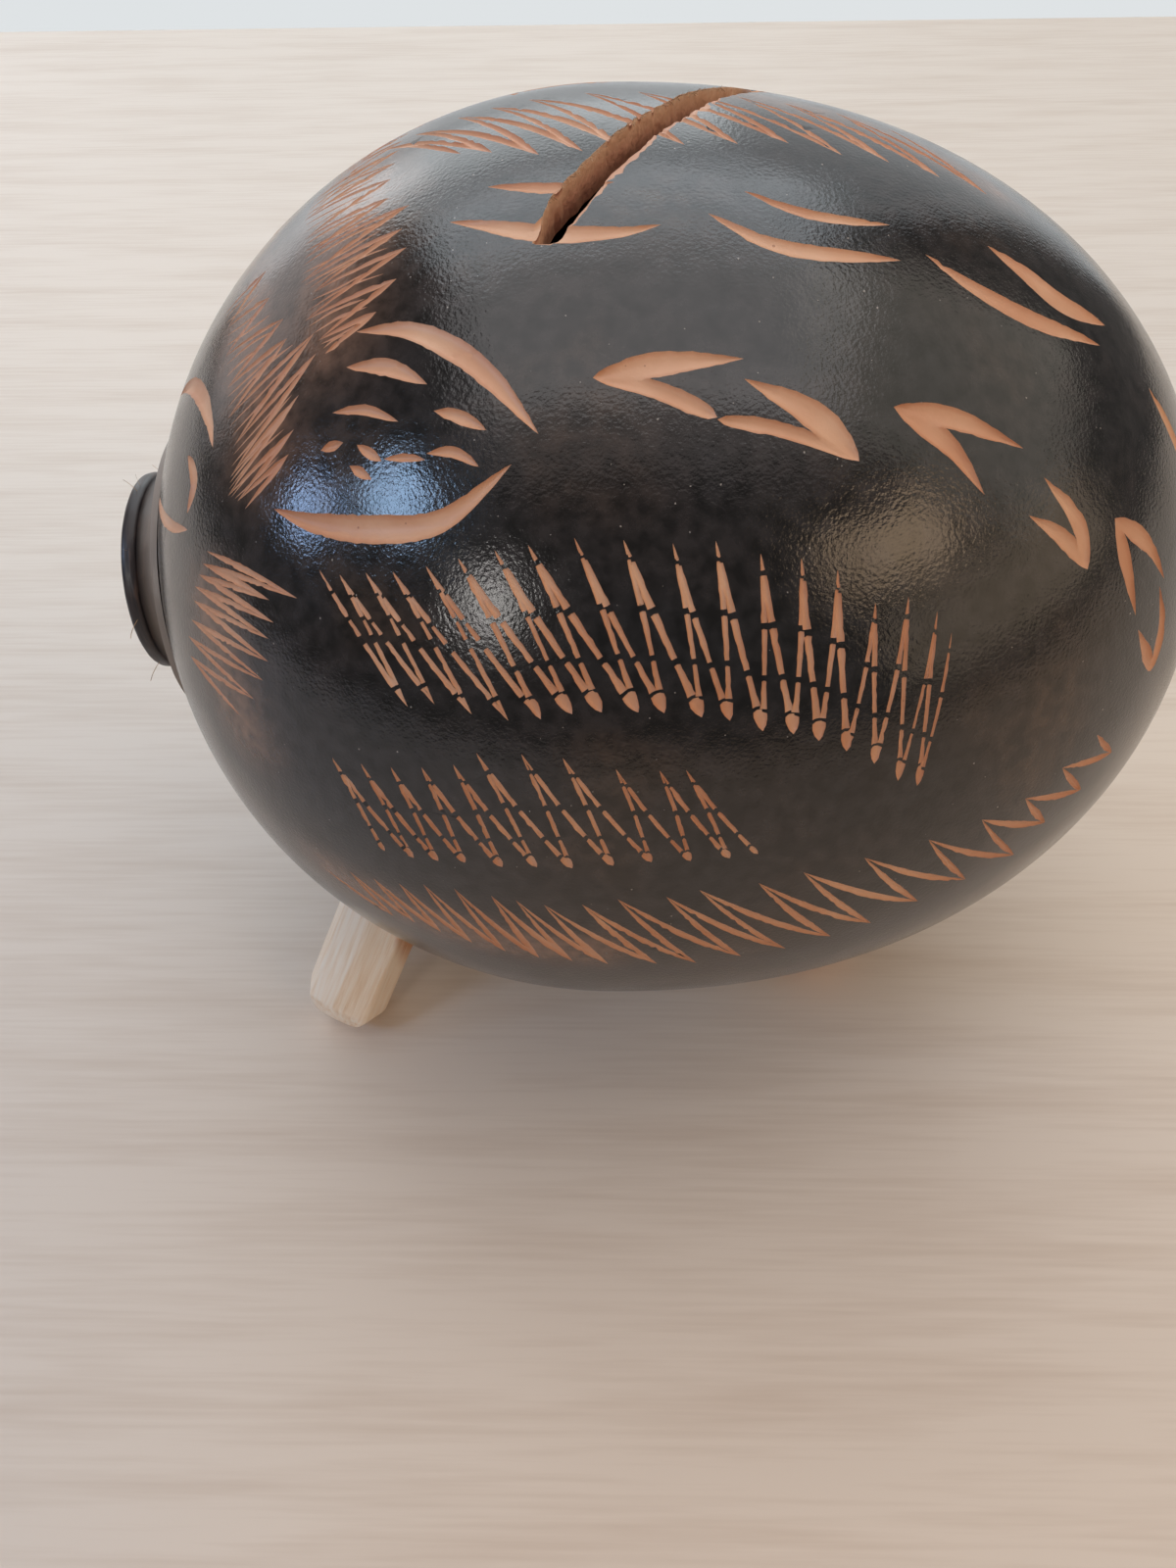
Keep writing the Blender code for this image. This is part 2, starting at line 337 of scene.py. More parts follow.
leafVein = [                                    # long lenses beside the spine
    ([(-10.8, 10.3), (-4.6, 12.0), (0.3, 11.5)], 1.3),
    ([(-14.0, 14.3), (-6.0, 17.8), (0.0, 18.2), (4.2, 17.2)], 1.8),
    ([(11.4, 12.2), (16.0, 14.3), (20.0, 14.6), (24.2, 14.0)], 1.1),
    ([(8.2, 15.6), (13.0, 18.7), (18.0, 19.4), (24.8, 18.6)], 1.5),
    ([(33.7, 12.6), (37.0, 14.5), (41.0, 16.8), (46.3, 16.0)], 2.4),
    ([(27.2, 17.0), (32.0, 20.0), (38.0, 21.5), (45.0, 20.5)], 1.8),
    ([(51.5, 21.7), (55.0, 27.0), (57.5, 34.0)], 1.5),
]
leafForms = {
    "broad": [(0, 0.12), (0.12, 0.62), (0.28, 0.98), (0.45, 1), (0.7, 0.68), (0.9, 0.25), (1, 0.03)],
    "bar": [(0, 0.15), (0.15, 0.65), (0.35, 0.95), (0.75, 1), (0.9, 0.8), (0.97, 0.5), (1, 0.12)],
}
leafPairs = [                                   # each arm from the leaf's vertex, its width and its form
    ([(-1.5, 33.1), (4.0, 31.9), (10.8, 31.2)], 2.2, "broad"),
    ([(-1.5, 33.1), (3.4, 34.2), (8.6, 36.7)], 1.6, "bar"),
    ([(20.4, 40.2), (16.5, 36.2), (10.8, 33.1)], 2.5, "broad"),
    ([(20.4, 40.2), (14.3, 37.8), (8.6, 36.9)], 1.3, "bar"),
    ([(23.4, 34.8), (29.5, 35.5), (35.4, 37.4)], 2.0, "broad"),
    ([(23.4, 34.8), (28.2, 38.0), (31.6, 42.7)], 2.0, "broad"),
    ([(42.8, 50.3), (41.2, 44.6), (37.5, 40.2)], 1.8, "broad"),
    ([(42.8, 50.3), (39.8, 46.8), (36.0, 44.5)], 1.7, "broad"),
    ([(45.8, 43.8), (50.6, 47.0), (53.5, 52.0)], 2.0, "broad"),
    ([(45.8, 43.8), (47.6, 50.0), (49.6, 57.0)], 1.9, "broad"),
    ([(54.0, 68.0), (54.2, 60.0), (52.8, 53.0)], 1.9, "broad"),
    ([(54.0, 68.0), (52.0, 63.0), (50.3, 59.3)], 1.7, "broad"),
]
ear = [
    ([(-22, 25.1), (-17.5, 26.3), (-13.5, 29), (-10, 32.5), (-5.9, 38.1)], 1.9),
    ([(-30, 43), (-26, 45), (-20, 46.1), (-14, 45.5), (-8.1, 40.7)], 2.2),
    ([(-22.8, 28.9), (-19, 30), (-15.3, 32.5)], 1.4),
    ([(-24, 33.6), (-21, 34), (-17.8, 35.8)], 0.9),
    ([(-14.7, 35.2), (-12.5, 36), (-10.2, 37.5)], 1.1),
    ([(-25.1, 37.4), (-22.9, 37)], 0.9),
    ([(-21.6, 37.5), (-19.3, 39.5)], 0.9),
    ([(-22.3, 39.5), (-20.2, 41.2)], 0.8),
    ([(-19.1, 39.3), (-17, 39.4), (-15.4, 39.8)], 0.7),
    ([(-15.3, 39.2), (-13, 39.3), (-10.8, 40.8)], 0.9),
]
eye = [
    ([(-46.5, 6), (-43, 14), (-40.3, 21), (-38.5, 27.5), (-37.7, 32.3)], 2.1),
    ([(-41.7, 30.4), (-40.8, 33.6), (-40.5, 36.6), (-41.6, 40.6)], 1.7),
    ([(-50.6, 17), (-50.2, 24), (-49, 30.5), (-47.2, 36.9), (-44.8, 41.2), (-41.6, 43.3)], 1.5),
]
cheek = {
    "upper": [(-38.6, 47.2), (-39.3, 49), (-40, 50.7), (-40.8, 52.6), (-41.2, 55), (-42, 58.5), (-43, 62),
              (-43.2, 66)],
    "lower": [(-27.9, 53.2), (-31, 53.6), (-30.7, 56.3), (-31.5, 58.4), (-31.8, 61.4), (-32.7, 64.2),
              (-34.2, 67.5), (-36.5, 71.5)],
    "offset": -1, "width": 0.6, "shape": {"peak": 0.45},
}
forehead = {                                    # two rows of thin hatching, with fainter lines between
    "upper": [(-20.4, -1), (-20.4, 2.9), (-20.2, 6.9), (-18.0, 9.7), (-18.4, 13.2), (-17.8, 16.2), (-18.5, 20),
              (-20.2, 23.4), (-23.4, 25.5)],
    "lower": [(-30, -5), (-30, 0), (-29, 6), (-28.6, 10.3), (-28.4, 14.6), (-26.9, 17.3), (-27.4, 21),
              (-25.8, 24.5),
              (-25.0, 26.5)],
    "offset": 0, "width": 0.62, "shape": {"peak": 0.25, "full": 1.0, "depth": 0.7},
    "fill": (0.3, 0.65), "fillWidth": 0.34,
}
brow = {
    "upper": [(-33.5, 6), (-32.1, 13.3), (-29.9, 18.9), (-29.2, 22.2), (-26.3, 23.3), (-25.9, 26),
              (-27.5, 30.4),
              (-27.9, 34.3), (-28.4, 37)],
    "lower": [(-39, 6), (-37.6, 11.6), (-37.1, 18), (-36.2, 24.3), (-35.8, 29.3), (-34.8, 33.7), (-35.2, 37.8),
              (-35.5, 40.2), (-34.3, 41.2), (-33.4, 42.4)],
    "offset": 0, "width": 0.6, "shape": {"peak": 0.3, "full": 1.0, "depth": 0.7},
    "fill": (0.3, 0.65), "fillWidth": 0.3,
}
spine = {
    "upper": [(-22.5, -9), (-19.3, -9), (-15, -9), (-11.7, -9), (-8, -9), (-2.6, -9), (2.5, -9), (7.2, -9),
              (12.1, -9.5), (16.7, -9.5), (21.8, -10), (27, -10)],
    "lower": [(-16.9, 1.5), (-13.7, 2.9), (-10.7, 4.3), (-6.4, 6.3), (-2.5, 6.4), (0.9, 5.6), (6.5, 5.2),
              (11.3, 4.4), (16, 3), (20.9, 3.5), (25.5, 2.5), (30.5, 2), (35.5, 1)],
    "offset": 1, "width": 0.75, "shape": {"peak": 0.7, "full": 0.8},
}
upperRow = {
    "upper": [(-25.5, 50), (-23.5, 50.5), (-21, 50.3), (-18.5, 50.2), (-15.5, 49.7), (-12.7, 49), (-9.6, 48.3),
              (-6.8, 47.9), (-3, 47.3), (1, 47.5), (5, 47.8), (8.5, 47.6), (12.2, 48.7), (15.6, 49.1),
              (18.7, 50.2), (22.1, 53.3), (25, 52.8), (27.7, 54.3), (29.2, 56.5)],
    "lower": [(-17.8, 63.8), (-15.3, 63.2), (-12, 63.9), (-8.8, 64.3), (-6, 64), (-3.3, 63.4), (-0.8, 63.2),
              (2.3, 63.2), (4.5, 63.3), (7.7, 63.8), (10.1, 64.2), (13, 65.4), (15.7, 65.9), (18, 66.8),
              (20.6, 68.2), (23.3, 70), (25.8, 72.5), (27.8, 73.6)],
    "offset": -1, "width": 1.0, "headCount": 5, "tailThin": 0.35, "pinch": 0.17,
    "shape": {
        "breaks": [(0.09, 0.115), (0.37, 0.402), (0.66, 0.69), (0.866, 0.884)],
        "form": [(0, 0.1), (0.09, 0.2), (0.11, 0.34), (0.2, 0.5), (0.28, 0.46), (0.37, 0.6), (0.4, 0.56),
                 (0.66, 0.42), (0.69, 0.46), (0.8, 0.5), (0.865, 0.66), (0.884, 0.72), (0.93, 0.86),
                 (0.97, 0.55),
                 (1, 0.12)],
    },
    "headShape": {
        "breaks": [(0.155, 0.175), (0.335, 0.36), (0.475, 0.53), (0.85, 0.875)],
        "form": [(0, 0.1), (0.155, 0.32), (0.175, 0.36), (0.335, 0.44), (0.36, 0.26), (0.475, 0.42),
                 (0.53, 0.4),
                 (0.7, 0.44), (0.85, 0.52), (0.875, 0.36), (1, 0.05)],
    },
}
middleRow = {
    "upper": [(-26, 72), (-23, 71.7), (-20, 71.2), (-17, 70.5), (-14, 69.6), (-11.8, 68), (-7.8, 67.7),
              (-4.2, 67.9), (0.4, 69), (4.2, 69.2), (6.5, 69.2)],
    "lower": [(-22, 84.2), (-19, 83.8), (-16.5, 83.2), (-13.8, 82.5), (-10.2, 82.2), (-6.9, 81.6), (-3.6, 81.4),
              (0.2, 80.9), (3.7, 80.4), (7.3, 80.4), (10.9, 80.3), (13.5, 80), (14.8, 80)],
    "offset": 0, "width": 0.95, "tailThin": 0.2, "pinch": 0.2,
    "shape": {
        "breaks": [(0.136, 0.167), (0.42, 0.465), (0.705, 0.735), (0.878, 0.903)],
        "form": [(0, 0.1), (0.136, 0.24), (0.167, 0.36), (0.27, 0.56), (0.32, 0.4), (0.42, 0.5), (0.465, 0.44),
                 (0.6, 0.5), (0.705, 0.42), (0.735, 0.4), (0.82, 0.48), (0.878, 0.54), (0.903, 0.56),
                 (0.94, 0.74),
                 (0.975, 0.6), (1, 0.15)],
    },
}
bellyRow = {
    "upper": [(-33, 98), (-30.2, 95.8), (-26.9, 92.1), (-24.1, 90.9), (-21.2, 89.7), (-18.5, 88.1),
              (-15.3, 87.3),
              (-11.6, 87.2), (-9.2, 87.3), (-6.5, 87.5), (-2.8, 87), (0.6, 86), (5.2, 85.7), (8.3, 84.8),
              (13.9, 84.4), (18.1, 83.5), (23.9, 82.7), (30.2, 82.1),
              (35.6, 81.4), (40.2, 80.5), (43.9, 77.7), (47.5, 74.5)],
    "lower": [(-23.1, 99.8), (-20.6, 98.9), (-17.8, 98.9), (-14.5, 99.5), (-11, 99.8), (-7.5, 100), (-4, 100),
              (-0.3, 100.5), (4.8, 100.6), (8.9, 100.9), (13.5, 100),
              (18.1, 99.5), (22.7, 98.4), (26.8, 97.3), (31.4, 95), (36.4, 93.9), (41.8, 93.5), (44.3, 88.6),
              (48, 85.5), (51, 81)],
    "offset": -2, "width": 0.78, "headCount": 10, "headShape": {"peak": 0.7, "full": 0.9, "depth": 0.6},
    "shape": {"peak": 0.6},
}
# thinly scraped, browner skin: centre lines with their reach in mm
crownWear = ([(13, -11), (18, -9), (24, -8), (31, -5), (37, -2)], 2.8)    # only on the far side of the ridge
scraped = [
    ([(-24, -4), (-24, 10), (-25, 24)], 5.0),
    ([(-36, 4), (-35, 16), (-32.5, 27), (-31.5, 36)], 4.6),
    ([(-39, 54), (-38.5, 62), (-36.5, 74)], 4.6),
    ([(-30, 95), (-16, 97), (-2, 97)], 3.5),
]


def rightSideCuts(chance):
    made = []
    for points, width in leafVein + ear:
        made += knifeCut(points, width * cuts["lensWidth"])
    for points, width in eye:
        made += knifeCut(points, width, peak=0.6)
    for points, width, form in leafPairs:
        made += knifeCut(points, width, form=leafForms[form])
    for band in (cheek, forehead, brow, upperRow, middleRow, bellyRow):
        made += zigzag(band, chance)
    return made


# how far the skin at each flat point is scraped brown
def scrapedShare(flat, lines):
    share = np.zeros(len(flat))
    for points, reach in lines:
        x, degrees = np.array(points, float).T
        line = smoothLine(np.column_stack(toFlat(x, degrees)), cuts["wearStep"])
        gap = np.hypot(flat[:, None, 0] - line[:, 0], flat[:, None, 1] - line[:, 1]).min(1)
        share = np.maximum(share, np.exp(-(gap / reach) ** 2))
    return share


# the left side's cuts mirror the right side's and make room for the spine's band
def mirrored(made):
    flipped = []
    most, start, run = cuts["mirrorRoom"]
    for cut in made:
        line = cut["line"].copy()
        degrees = np.degrees(line[:, 1] / bodyRadius)
        shift = most * np.clip(1 - (degrees - start) / run, 0, 1)
        line[:, 1] = -np.radians(degrees + shift) * bodyRadius
        flipped.append({**cut, "line": line})
    return flipped


# the outline, and the lines inside it, that a cut adds to the skin
def cutOutline(cut, chance):
    line, half = cut["line"], cut["half"]
    squeeze = squeezeAt(line[:, 0])
    forward = np.gradient(line, axis=0)
    across = np.column_stack([-forward[:, 1] * squeeze, forward[:, 0]])
    across /= np.linalg.norm(across, axis=1)[:, None]
    across[:, 1] /= squeeze
    wander = np.array([[chance.gauss(0, cuts["ragged"]) for _ in range(2)] for _ in half])
    wander *= np.clip(half / cuts["raggedFrom"], 0, 1)[:, None]
    wander[:2] = wander[-2:] = 0
    leftEdge = line + across * (half + wander[:, 0])[:, None]
    rightEdge = line - across * (half + wander[:, 1])[:, None]
    outline = np.vstack([line[:1], leftEdge[1:-1], line[-1:], rightEdge[1:-1][::-1]])
    inner = [line[1:-1] + across[1:-1] * (half[1:-1] * side)[:, None] for side in (-0.5, 0.0, 0.5)]
    return {**cut, "outline": anticlockwise(outline), "inner": inner}


def anticlockwise(outline):
    x, y = np.array(outline).T
    clockwise = np.sum(x * np.roll(y, -1) - np.roll(x, -1) * y) < 0
    return outline[::-1] if clockwise else outline


# the coin slot: a sawn kerf straight down through the back
coinSlot = {
    "centre": 4.1,             # mm behind the widest ring
    "turn": 32.0,              # degrees from square across the back
    "length": 40.0,
    "width": 3.3,
    "step": 0.55,
    "ragged": 0.07,
    "wallSteps": 6,
    "fibre": 0.2,              # how far the torn wall stands in and out
    "coarse": (1.0, 0.9),      # share and frequency per mm of the wall's broad and fine unevenness
    "fine": (0.4, 2.6),
    "speckle": 0.12,
    "edgeMemory": 0.7,         # how much of the saw's drift stays from one point to the next
    "nearTip": 0.12,           # share of the width that is left at the near and the far end
    "farTip": 0.5,
    "headTaper": (5.0, 1.2),   # how far the near end's narrowing reaches, and its power, on the head's side
    "tailTaper": (1.2, 0.5),
    "farTaper": 1.2,
}
# flesh torn bare at the slot: the chip beside its near end, and the flakes off its tailward lip
slotChip = ([(-7.0, 17.8), (-5.6, 16.5), (-3.7, 14.6)], 1.5)
slotFlakes = {
    "thin": 0.12,
    "thick": 0.75,
    "depth": 0.14,
    "along": (0, 0.12, 0.3, 0.68, 0.8, 1),       # shares of the lip, and how thick the flakes are there
    "swell": (0.3, 0.35, 0.9, 1, 0.3, 0.2),
    "frequency": 0.9,
    "stray": 0.45,
    "most": 1.3,
}

# the peg legs; stations and offsets are from the middle of the widest ring
legForm = {
    "radius": 6.2,
    "tenonRadius": 4.0,
    "tenonPastWall": 1.2,
    "clearance": 0.3,
    "footCentre": 5.2,
    "front": (-30.2, 20.0, -38.2, 28.5),    # station and offset at the skin, then at the foot
    "rear": (26.0, 13.5, 30.0, 19.0),
    "socketPoints": 28,
}


def slotOutline(chance):
    turn = math.radians(coinSlot["turn"])
    along = np.array([math.sin(turn), math.cos(turn)])
    across = np.array([along[1], -along[0]])
    count = int(coinSlot["length"] / coinSlot["step"])
    half = coinSlot["width"] / 2
    near, far = coinSlot["nearTip"], coinSlot["farTip"]
    points = []
    for side in (1, -1):
        drift = 0.0
        for i in range(count + 1):
            drift = coinSlot["edgeMemory"] * drift + chance.gauss(0, coinSlot["ragged"])
            at = (i / count - 0.5) * coinSlot["length"] * side
            fromNear = (i if side > 0 else count - i) * coinSlot["step"]
            reach, power = coinSlot["tailTaper" if side > 0 else "headTaper"]
            width = half * (near + (1 - near) * min(1.0, fromNear / reach) ** power)
            fromFar = (coinSlot["length"] - fromNear) / coinSlot["farTaper"]
            width = min(width, half * (far + (1 - far) * min(1.0, fromFar)))
            points.append(along * at + across * side * (width + drift))
    plan = np.array(points) + np.array([coinSlot["centre"], 0])
    start = np.column_stack([plan, np.full(len(plan), bodyRadius)]) + origin
    u, v, _ = meetSkin(outerSkin, start, (0, 0, 1))
    return np.column_stack([u, v])


slotEdge = slotOutline(random.Random(3))


def tornLip(chance):
    form = slotFlakes
    line = slotEdge[:len(slotEdge) // 2]
    swell = np.interp(np.linspace(0, 1, len(line)), form["along"], form["swell"])
    often, stray = form["frequency"], form["stray"]
    torn = [0.5 + noise.noise(Vector((u * often, v * often, 7))) + chance.uniform(-stray, stray)
            for u, v in line]
    half = form["thin"] + form["thick"] * swell * np.clip(torn, 0, form["most"])
    half[0] = half[-1] = 0
    return knifeCut(*slotChip, peak=0.6) + [{"line": line, "half": half, "depth": form["depth"]}]


# a leg's own frame: origin where its axis meets the skin, and its Z axis running down the leg
def legFrame(which, side):
    station, offset, footStation, footOffset = legForm[which]
    ring = np.interp(station, outerSkin["x"], outerSkin["r"])
    entry = middle + Vector((station, side * offset, -math.sqrt(ring ** 2 - offset ** 2)))
    foot = Vector((middle.x + footStation, side * footOffset, legForm["footCentre"]))
    down = (foot - entry).normalized()
    across = Vector((0, 1, 0)).cross(down).normalized()
    return entry, np.array((across, down.cross(across), down)), (foot - entry).length


legs = {
    "leg_front_right": legFrame("front", -1),
    "leg_front_left": legFrame("front", 1),
    "leg_rear_right": legFrame("rear", -1),
    "leg_rear_left": legFrame("rear", 1),
}


def socketOutline(entry, axes):
    turns = np.linspace(0, 2 * math.pi, legForm["socketPoints"], endpoint=False)
    radius = legForm["tenonRadius"] + legForm["clearance"]
    circle = np.column_stack([radius * np.cos(turns), radius * np.sin(turns), 0 * turns])
    u, v, _ = meetSkin(outerSkin, circle @ axes + np.array(entry), axes[2])
    return np.column_stack([u, v])


# how deep the knife went at each skin point
def carvedDepth(flat, made):
    deepest = np.zeros(len(flat))
    end, squareness = cuts["bite"]
    for cut in made:
        line, half = cut["line"], cut["half"]
        reach = half.max() + cuts["margin"]
        squeeze = squeezeAt(line[:, 0].mean())
        scale = np.array([1, squeeze])
        low, high = line.min(0) - reach / scale, line.max(0) + reach / scale
        near = np.nonzero(np.all((flat >= low) & (flat <= high), axis=1))[0]
        if not len(near):
            continue
        at = flat[near] * scale
        start, run = (line[:-1] * scale), np.diff(line * scale, axis=0)
        share = np.einsum("ijk,jk->ij", at[:, None] - start, run) / (run ** 2).sum(1)
        share = share.clip(0, 1)
        gap = np.linalg.norm(at[:, None] - start - share[..., None] * run, axis=2)
        local = half[:-1] * (1 - share) + half[1:] * share
        best = (gap - local).argmin(1)
        pick = np.arange(len(near))
        gap, local = gap[pick, best], local[pick, best].clip(1e-4)
        floor = (1 - (gap / local / end) ** squareness).clip(0)
        sink = cut["depth"] * np.minimum(1, local / cuts["deepFrom"]) * floor
        deepest[near] = np.maximum(deepest[near], sink)
    return deepest


# adds a line of points, and gives back their numbers
def addRun(points, run):
    first = len(points)
    points += [tuple(p) for p in run]
    return list(range(first, len(points)))


# the triangles between points in a plane, each with the numbers of the faces that it came from
def triangulate(points, edges, faces, reach):
    found = delaunay_2d_cdt([Vector(p) for p in points], edges, faces, 0, reach, True)
    return np.array([tuple(p) for p in found[0]]), list(zip(found[2], found[5]))


# free points in rings along the skin, every second ring half a step on
def ringPoints(skin, rings, spacing, vLow, vHigh):
    inside = []
    for number, u in enumerate(rings):
        radius = np.interp(u, skin["s"], skin["r"])
        count = max(3, round(radius * (vHigh - vLow) / bodyRadius / spacing))
        shift = 0.5 if number % 2 and number < len(rings) - 1 else 0.0
        steps = np.arange(0 if shift else 1, count) + shift
        inside += [(u, vLow + (vHigh - vLow) * k / count) for k in steps]
    return np.array(inside)


# one band of the skin between two lines along the shell, triangulated with its cuts and holes
def skinBand(rings, vLow, vHigh, made, holes):
    free = ringPoints(outerSkin, rings, shellForm["pointSpacing"], vLow, vHigh)
    squeeze = squeezeAt(free[:, 0])
    taken = [(hole, shellForm["holeRoom"]) for hole in holes] + [(c["line"], c["half"]) for c in made]
    for line, half in taken:
        near = np.abs(free[:, None, 0] - line[None, :, 0])
        side = np.abs(free[:, None, 1] - line[None, :, 1]) * squeeze[:, None]
        clear = (np.hypot(near, side) > half + shellForm["cutRoom"]).all(1)
        clear |= (free[:, 0] <= rings[0]) | (free[:, 0] >= rings[-1])
        free, squeeze = free[clear], squeeze[clear]
    points = [tuple(p) for p in free]
    lines = [addRun(points, [(u, v) for u in rings]) for v in (vLow, vHigh)]
    faces = [addRun(points, anticlockwise(hole)) for hole in holes]
    for cut in made:
        faces.append(addRun(points, cut["outline"]))
        lines += [addRun(points, line) for line in cut["inner"]]
    edges = [pair for line in lines for pair in zip(line, line[1:])]
    flat, found = triangulate(points, edges, faces, 1e-4)
    triangles, kinds = [], []
    for triangle, sources in found:
        at = flat[triangle, 1].mean()
        if vLow < at < vHigh and not any(source < len(holes) for source in sources):
            triangles.append(triangle)
            kinds.append(1 if sources else 0)
    return flat, np.array(triangles), np.array(kinds), carvedDepth(flat, made)


# joins points that lie together, and drops faces that lose a corner and points that lose their faces
def weld(spots, faces, kinds):
    tree = KDTree(len(spots))
    for i, spot in enumerate(spots):
        tree.insert(spot, i)
    tree.balance()
    link = [min(found[1] for found in tree.find_range(spot, shellForm["weldReach"])) for spot in spots]
    faces = [[link[i] for i in face] for face in faces]
    whole = [len(set(face)) == len(face) for face in faces]
    kinds = np.array(kinds)[whole]
    faces = [face for face, good in zip(faces, whole) if good]
    kept = sorted(set(i for face in faces for i in face))
    number = {old: new for new, old in enumerate(kept)}
    return kept, [[number[i] for i in face] for face in faces], kinds


# the open rims of a triangle mesh, each as a list of its corners in the faces' direction
def openRims(faces):
    sides = set()
    for face in faces:
        sides.update(zip(face, face[1:] + face[:1]))
    following = {start: end for start, end in sides if (end, start) not in sides}
    rims = []
    while following:
        start, at = following.popitem()
        rim = [start]
        while at != start:
            rim.append(at)
            at = following.pop(at)
        rims.append(rim)
    return rims


# the skin is made in bands between these degrees, and each band takes the cuts within reach of it
bandEdges = [-180, -132, -100, -76, -60, -46, -30, -22, 22, 30, 46, 60, 76, 100, 132, 180]
bandReach = 3.0


def carveShell():
    chance = random.Random(11)
    right = rightSideCuts(chance)
    made = right + mirrored(rightSideCuts(chance)) + zigzag(spine, chance) + tornLip(chance)
    made = [cutOutline(cut, chance) for cut in made]
    holes = [slotEdge] + [socketOutline(entry, axes) for entry, axes, _ in legs.values()]
    uBore = atNose(outerSkin, "s", shellForm["boreRadius"])
    uTail = atTail(outerSkin, "s", shellForm["tailRing"])
    rings = np.linspace(uBore, uTail, round((uTail - uBore) / shellForm["pointSpacing"]))
    spans = [(c["line"][:, 1].min() - bandReach, c["line"][:, 1].max() + bandReach, c) for c in made]
    flats, triangles, kinds, depths = [], [], [], []
    count = 0
    for low, high in zip(bandEdges, bandEdges[1:]):
        vLow, vHigh = math.radians(low) * bodyRadius, math.radians(high) * bodyRadius
        here = [cut for first, last, cut in spans if last > vLow and first < vHigh]
        inBand = [h for h in holes if vLow < h[:, 1].mean() < vHigh]
        flat, faces, kind, depth = skinBand(rings, vLow, vHigh, here, inBand)
        flats.append(flat)
        triangles.append(faces + count)
        kinds.append(kind)
        depths.append(depth)
        count += len(flat)
    flat, depth = np.vstack(flats), np.concatenate(depths)
    spots = toSpace(outerSkin, flat[:, 0], flat[:, 1], depth)
    kept, faces, kinds = weld(spots, np.vstack(triangles)[:, ::-1], np.concatenate(kinds))
    return flat[kept], faces, kinds, depth[kept], uBore, uTail


# quads between two rims of equal length, facing the side that the first rim's faces face
def bridge(first, second, count):
    return [(first + (i + 1) % count, first + i, second + i, second + (i + 1) % count) for i in range(count)]


# the wall of a hole: rings that lead the skin's open rim straight in to the inner skin
def holeWall(rim, outward, steps, rough, chance):
    u, v, inner = meetSkin(innerSkin, rim, outward)
    side = np.cross(np.roll(rim, -1, 0) - np.roll(rim, 1, 0), outward)
    side /= np.linalg.norm(side, axis=1)[:, None].clip(1e-9)
    rings = [rim]
    uneven = (coinSlot["coarse"], coinSlot["fine"])
    for share in np.linspace(0, 1, steps + 1)[1:-1]:
        ring = rim * (1 - share) + inner * share
        torn = np.array([sum(much * noise.noise(Vector(p) * often) for much, often in uneven) for p in ring])
        torn += np.array([chance.gauss(0, coinSlot["speckle"]) for _ in ring])
        rings.append(ring + side * (torn * rough * min(1.0, 3 * share))[:, None])
    rings.append(inner)
    faces = []
    for i in range(steps):
        faces += bridge(i * len(rim), (i + 1) * len(rim), len(rim))
    return np.vstack(rings), faces, np.column_stack([u, v])


# the turns of the skin's points along one end of its flat coordinates
def endTurns(flat, u):
    return np.sort(flat[abs(flat[:, 0] - u) < 1e-3, 1])


# a fan from the last ring to the tail's pole
def tailFan(skin, turns, uTail, inset, outwards):
    ring = toSpace(skin, np.full(len(turns), uTail), turns)
    pole = middle + Vector((shellForm["tailLength"] - inset, 0, 0))
    count = len(turns)
    pairs = [(i, (i + 1) % count) for i in range(count)]
    faces = [(a, b, count) if outwards else (a, count, b) for a, b in pairs]
    return np.vstack([ring, pole]), faces


def boreWall(turns, uOuter, uInner):
    outer = toSpace(outerSkin, np.full(len(turns), uOuter), turns)
    inner = toSpace(innerSkin, np.full(len(turns), uInner), turns)
    return np.vstack([outer, inner]), bridge(0, len(turns), len(turns))


def pointInside(point, outline):
    x, y = outline.T
    nextX, nextY = np.roll(x, -1), np.roll(y, -1)
    crosses = (y > point[1]) != (nextY > point[1])
    at = x + (point[1] - y) * (nextX - x) / np.where(nextY == y, 1e-9, nextY - y)
    return bool(np.sum(crosses & (point[0] < at)) % 2)


# the inside of the shell as one sheet, whose holes meet the walls point for point
def innerSheet(boreTurns, holes, uBore, uTail):
    half = math.pi * bodyRadius
    rings = np.linspace(uBore, uTail, round((uTail - uBore) / shellForm["innerSpacing"]))[1:]
    free = ringPoints(innerSkin, rings, shellForm["innerSpacing"], -half, half)
    for hole in holes:
        gap = np.hypot(free[:, None, 0] - hole[None, :, 0], free[:, None, 1] - hole[None, :, 1])
        inside = np.array([pointInside(p, hole) for p in free])
        free = free[(gap > shellForm["innerRoom"]).all(1) & ~inside]
    points = [(uBore, v) for v in boreTurns] + [(uBore, half)] + [tuple(p) for p in free]
    points += [(u, side) for side in (-half, half) for u in rings]
    faces = [addRun(points, anticlockwise(hole)) for hole in holes]
    flat, found = triangulate(points, [], faces, 1e-5)
    return flat, [triangle for triangle, sources in found if not sources]


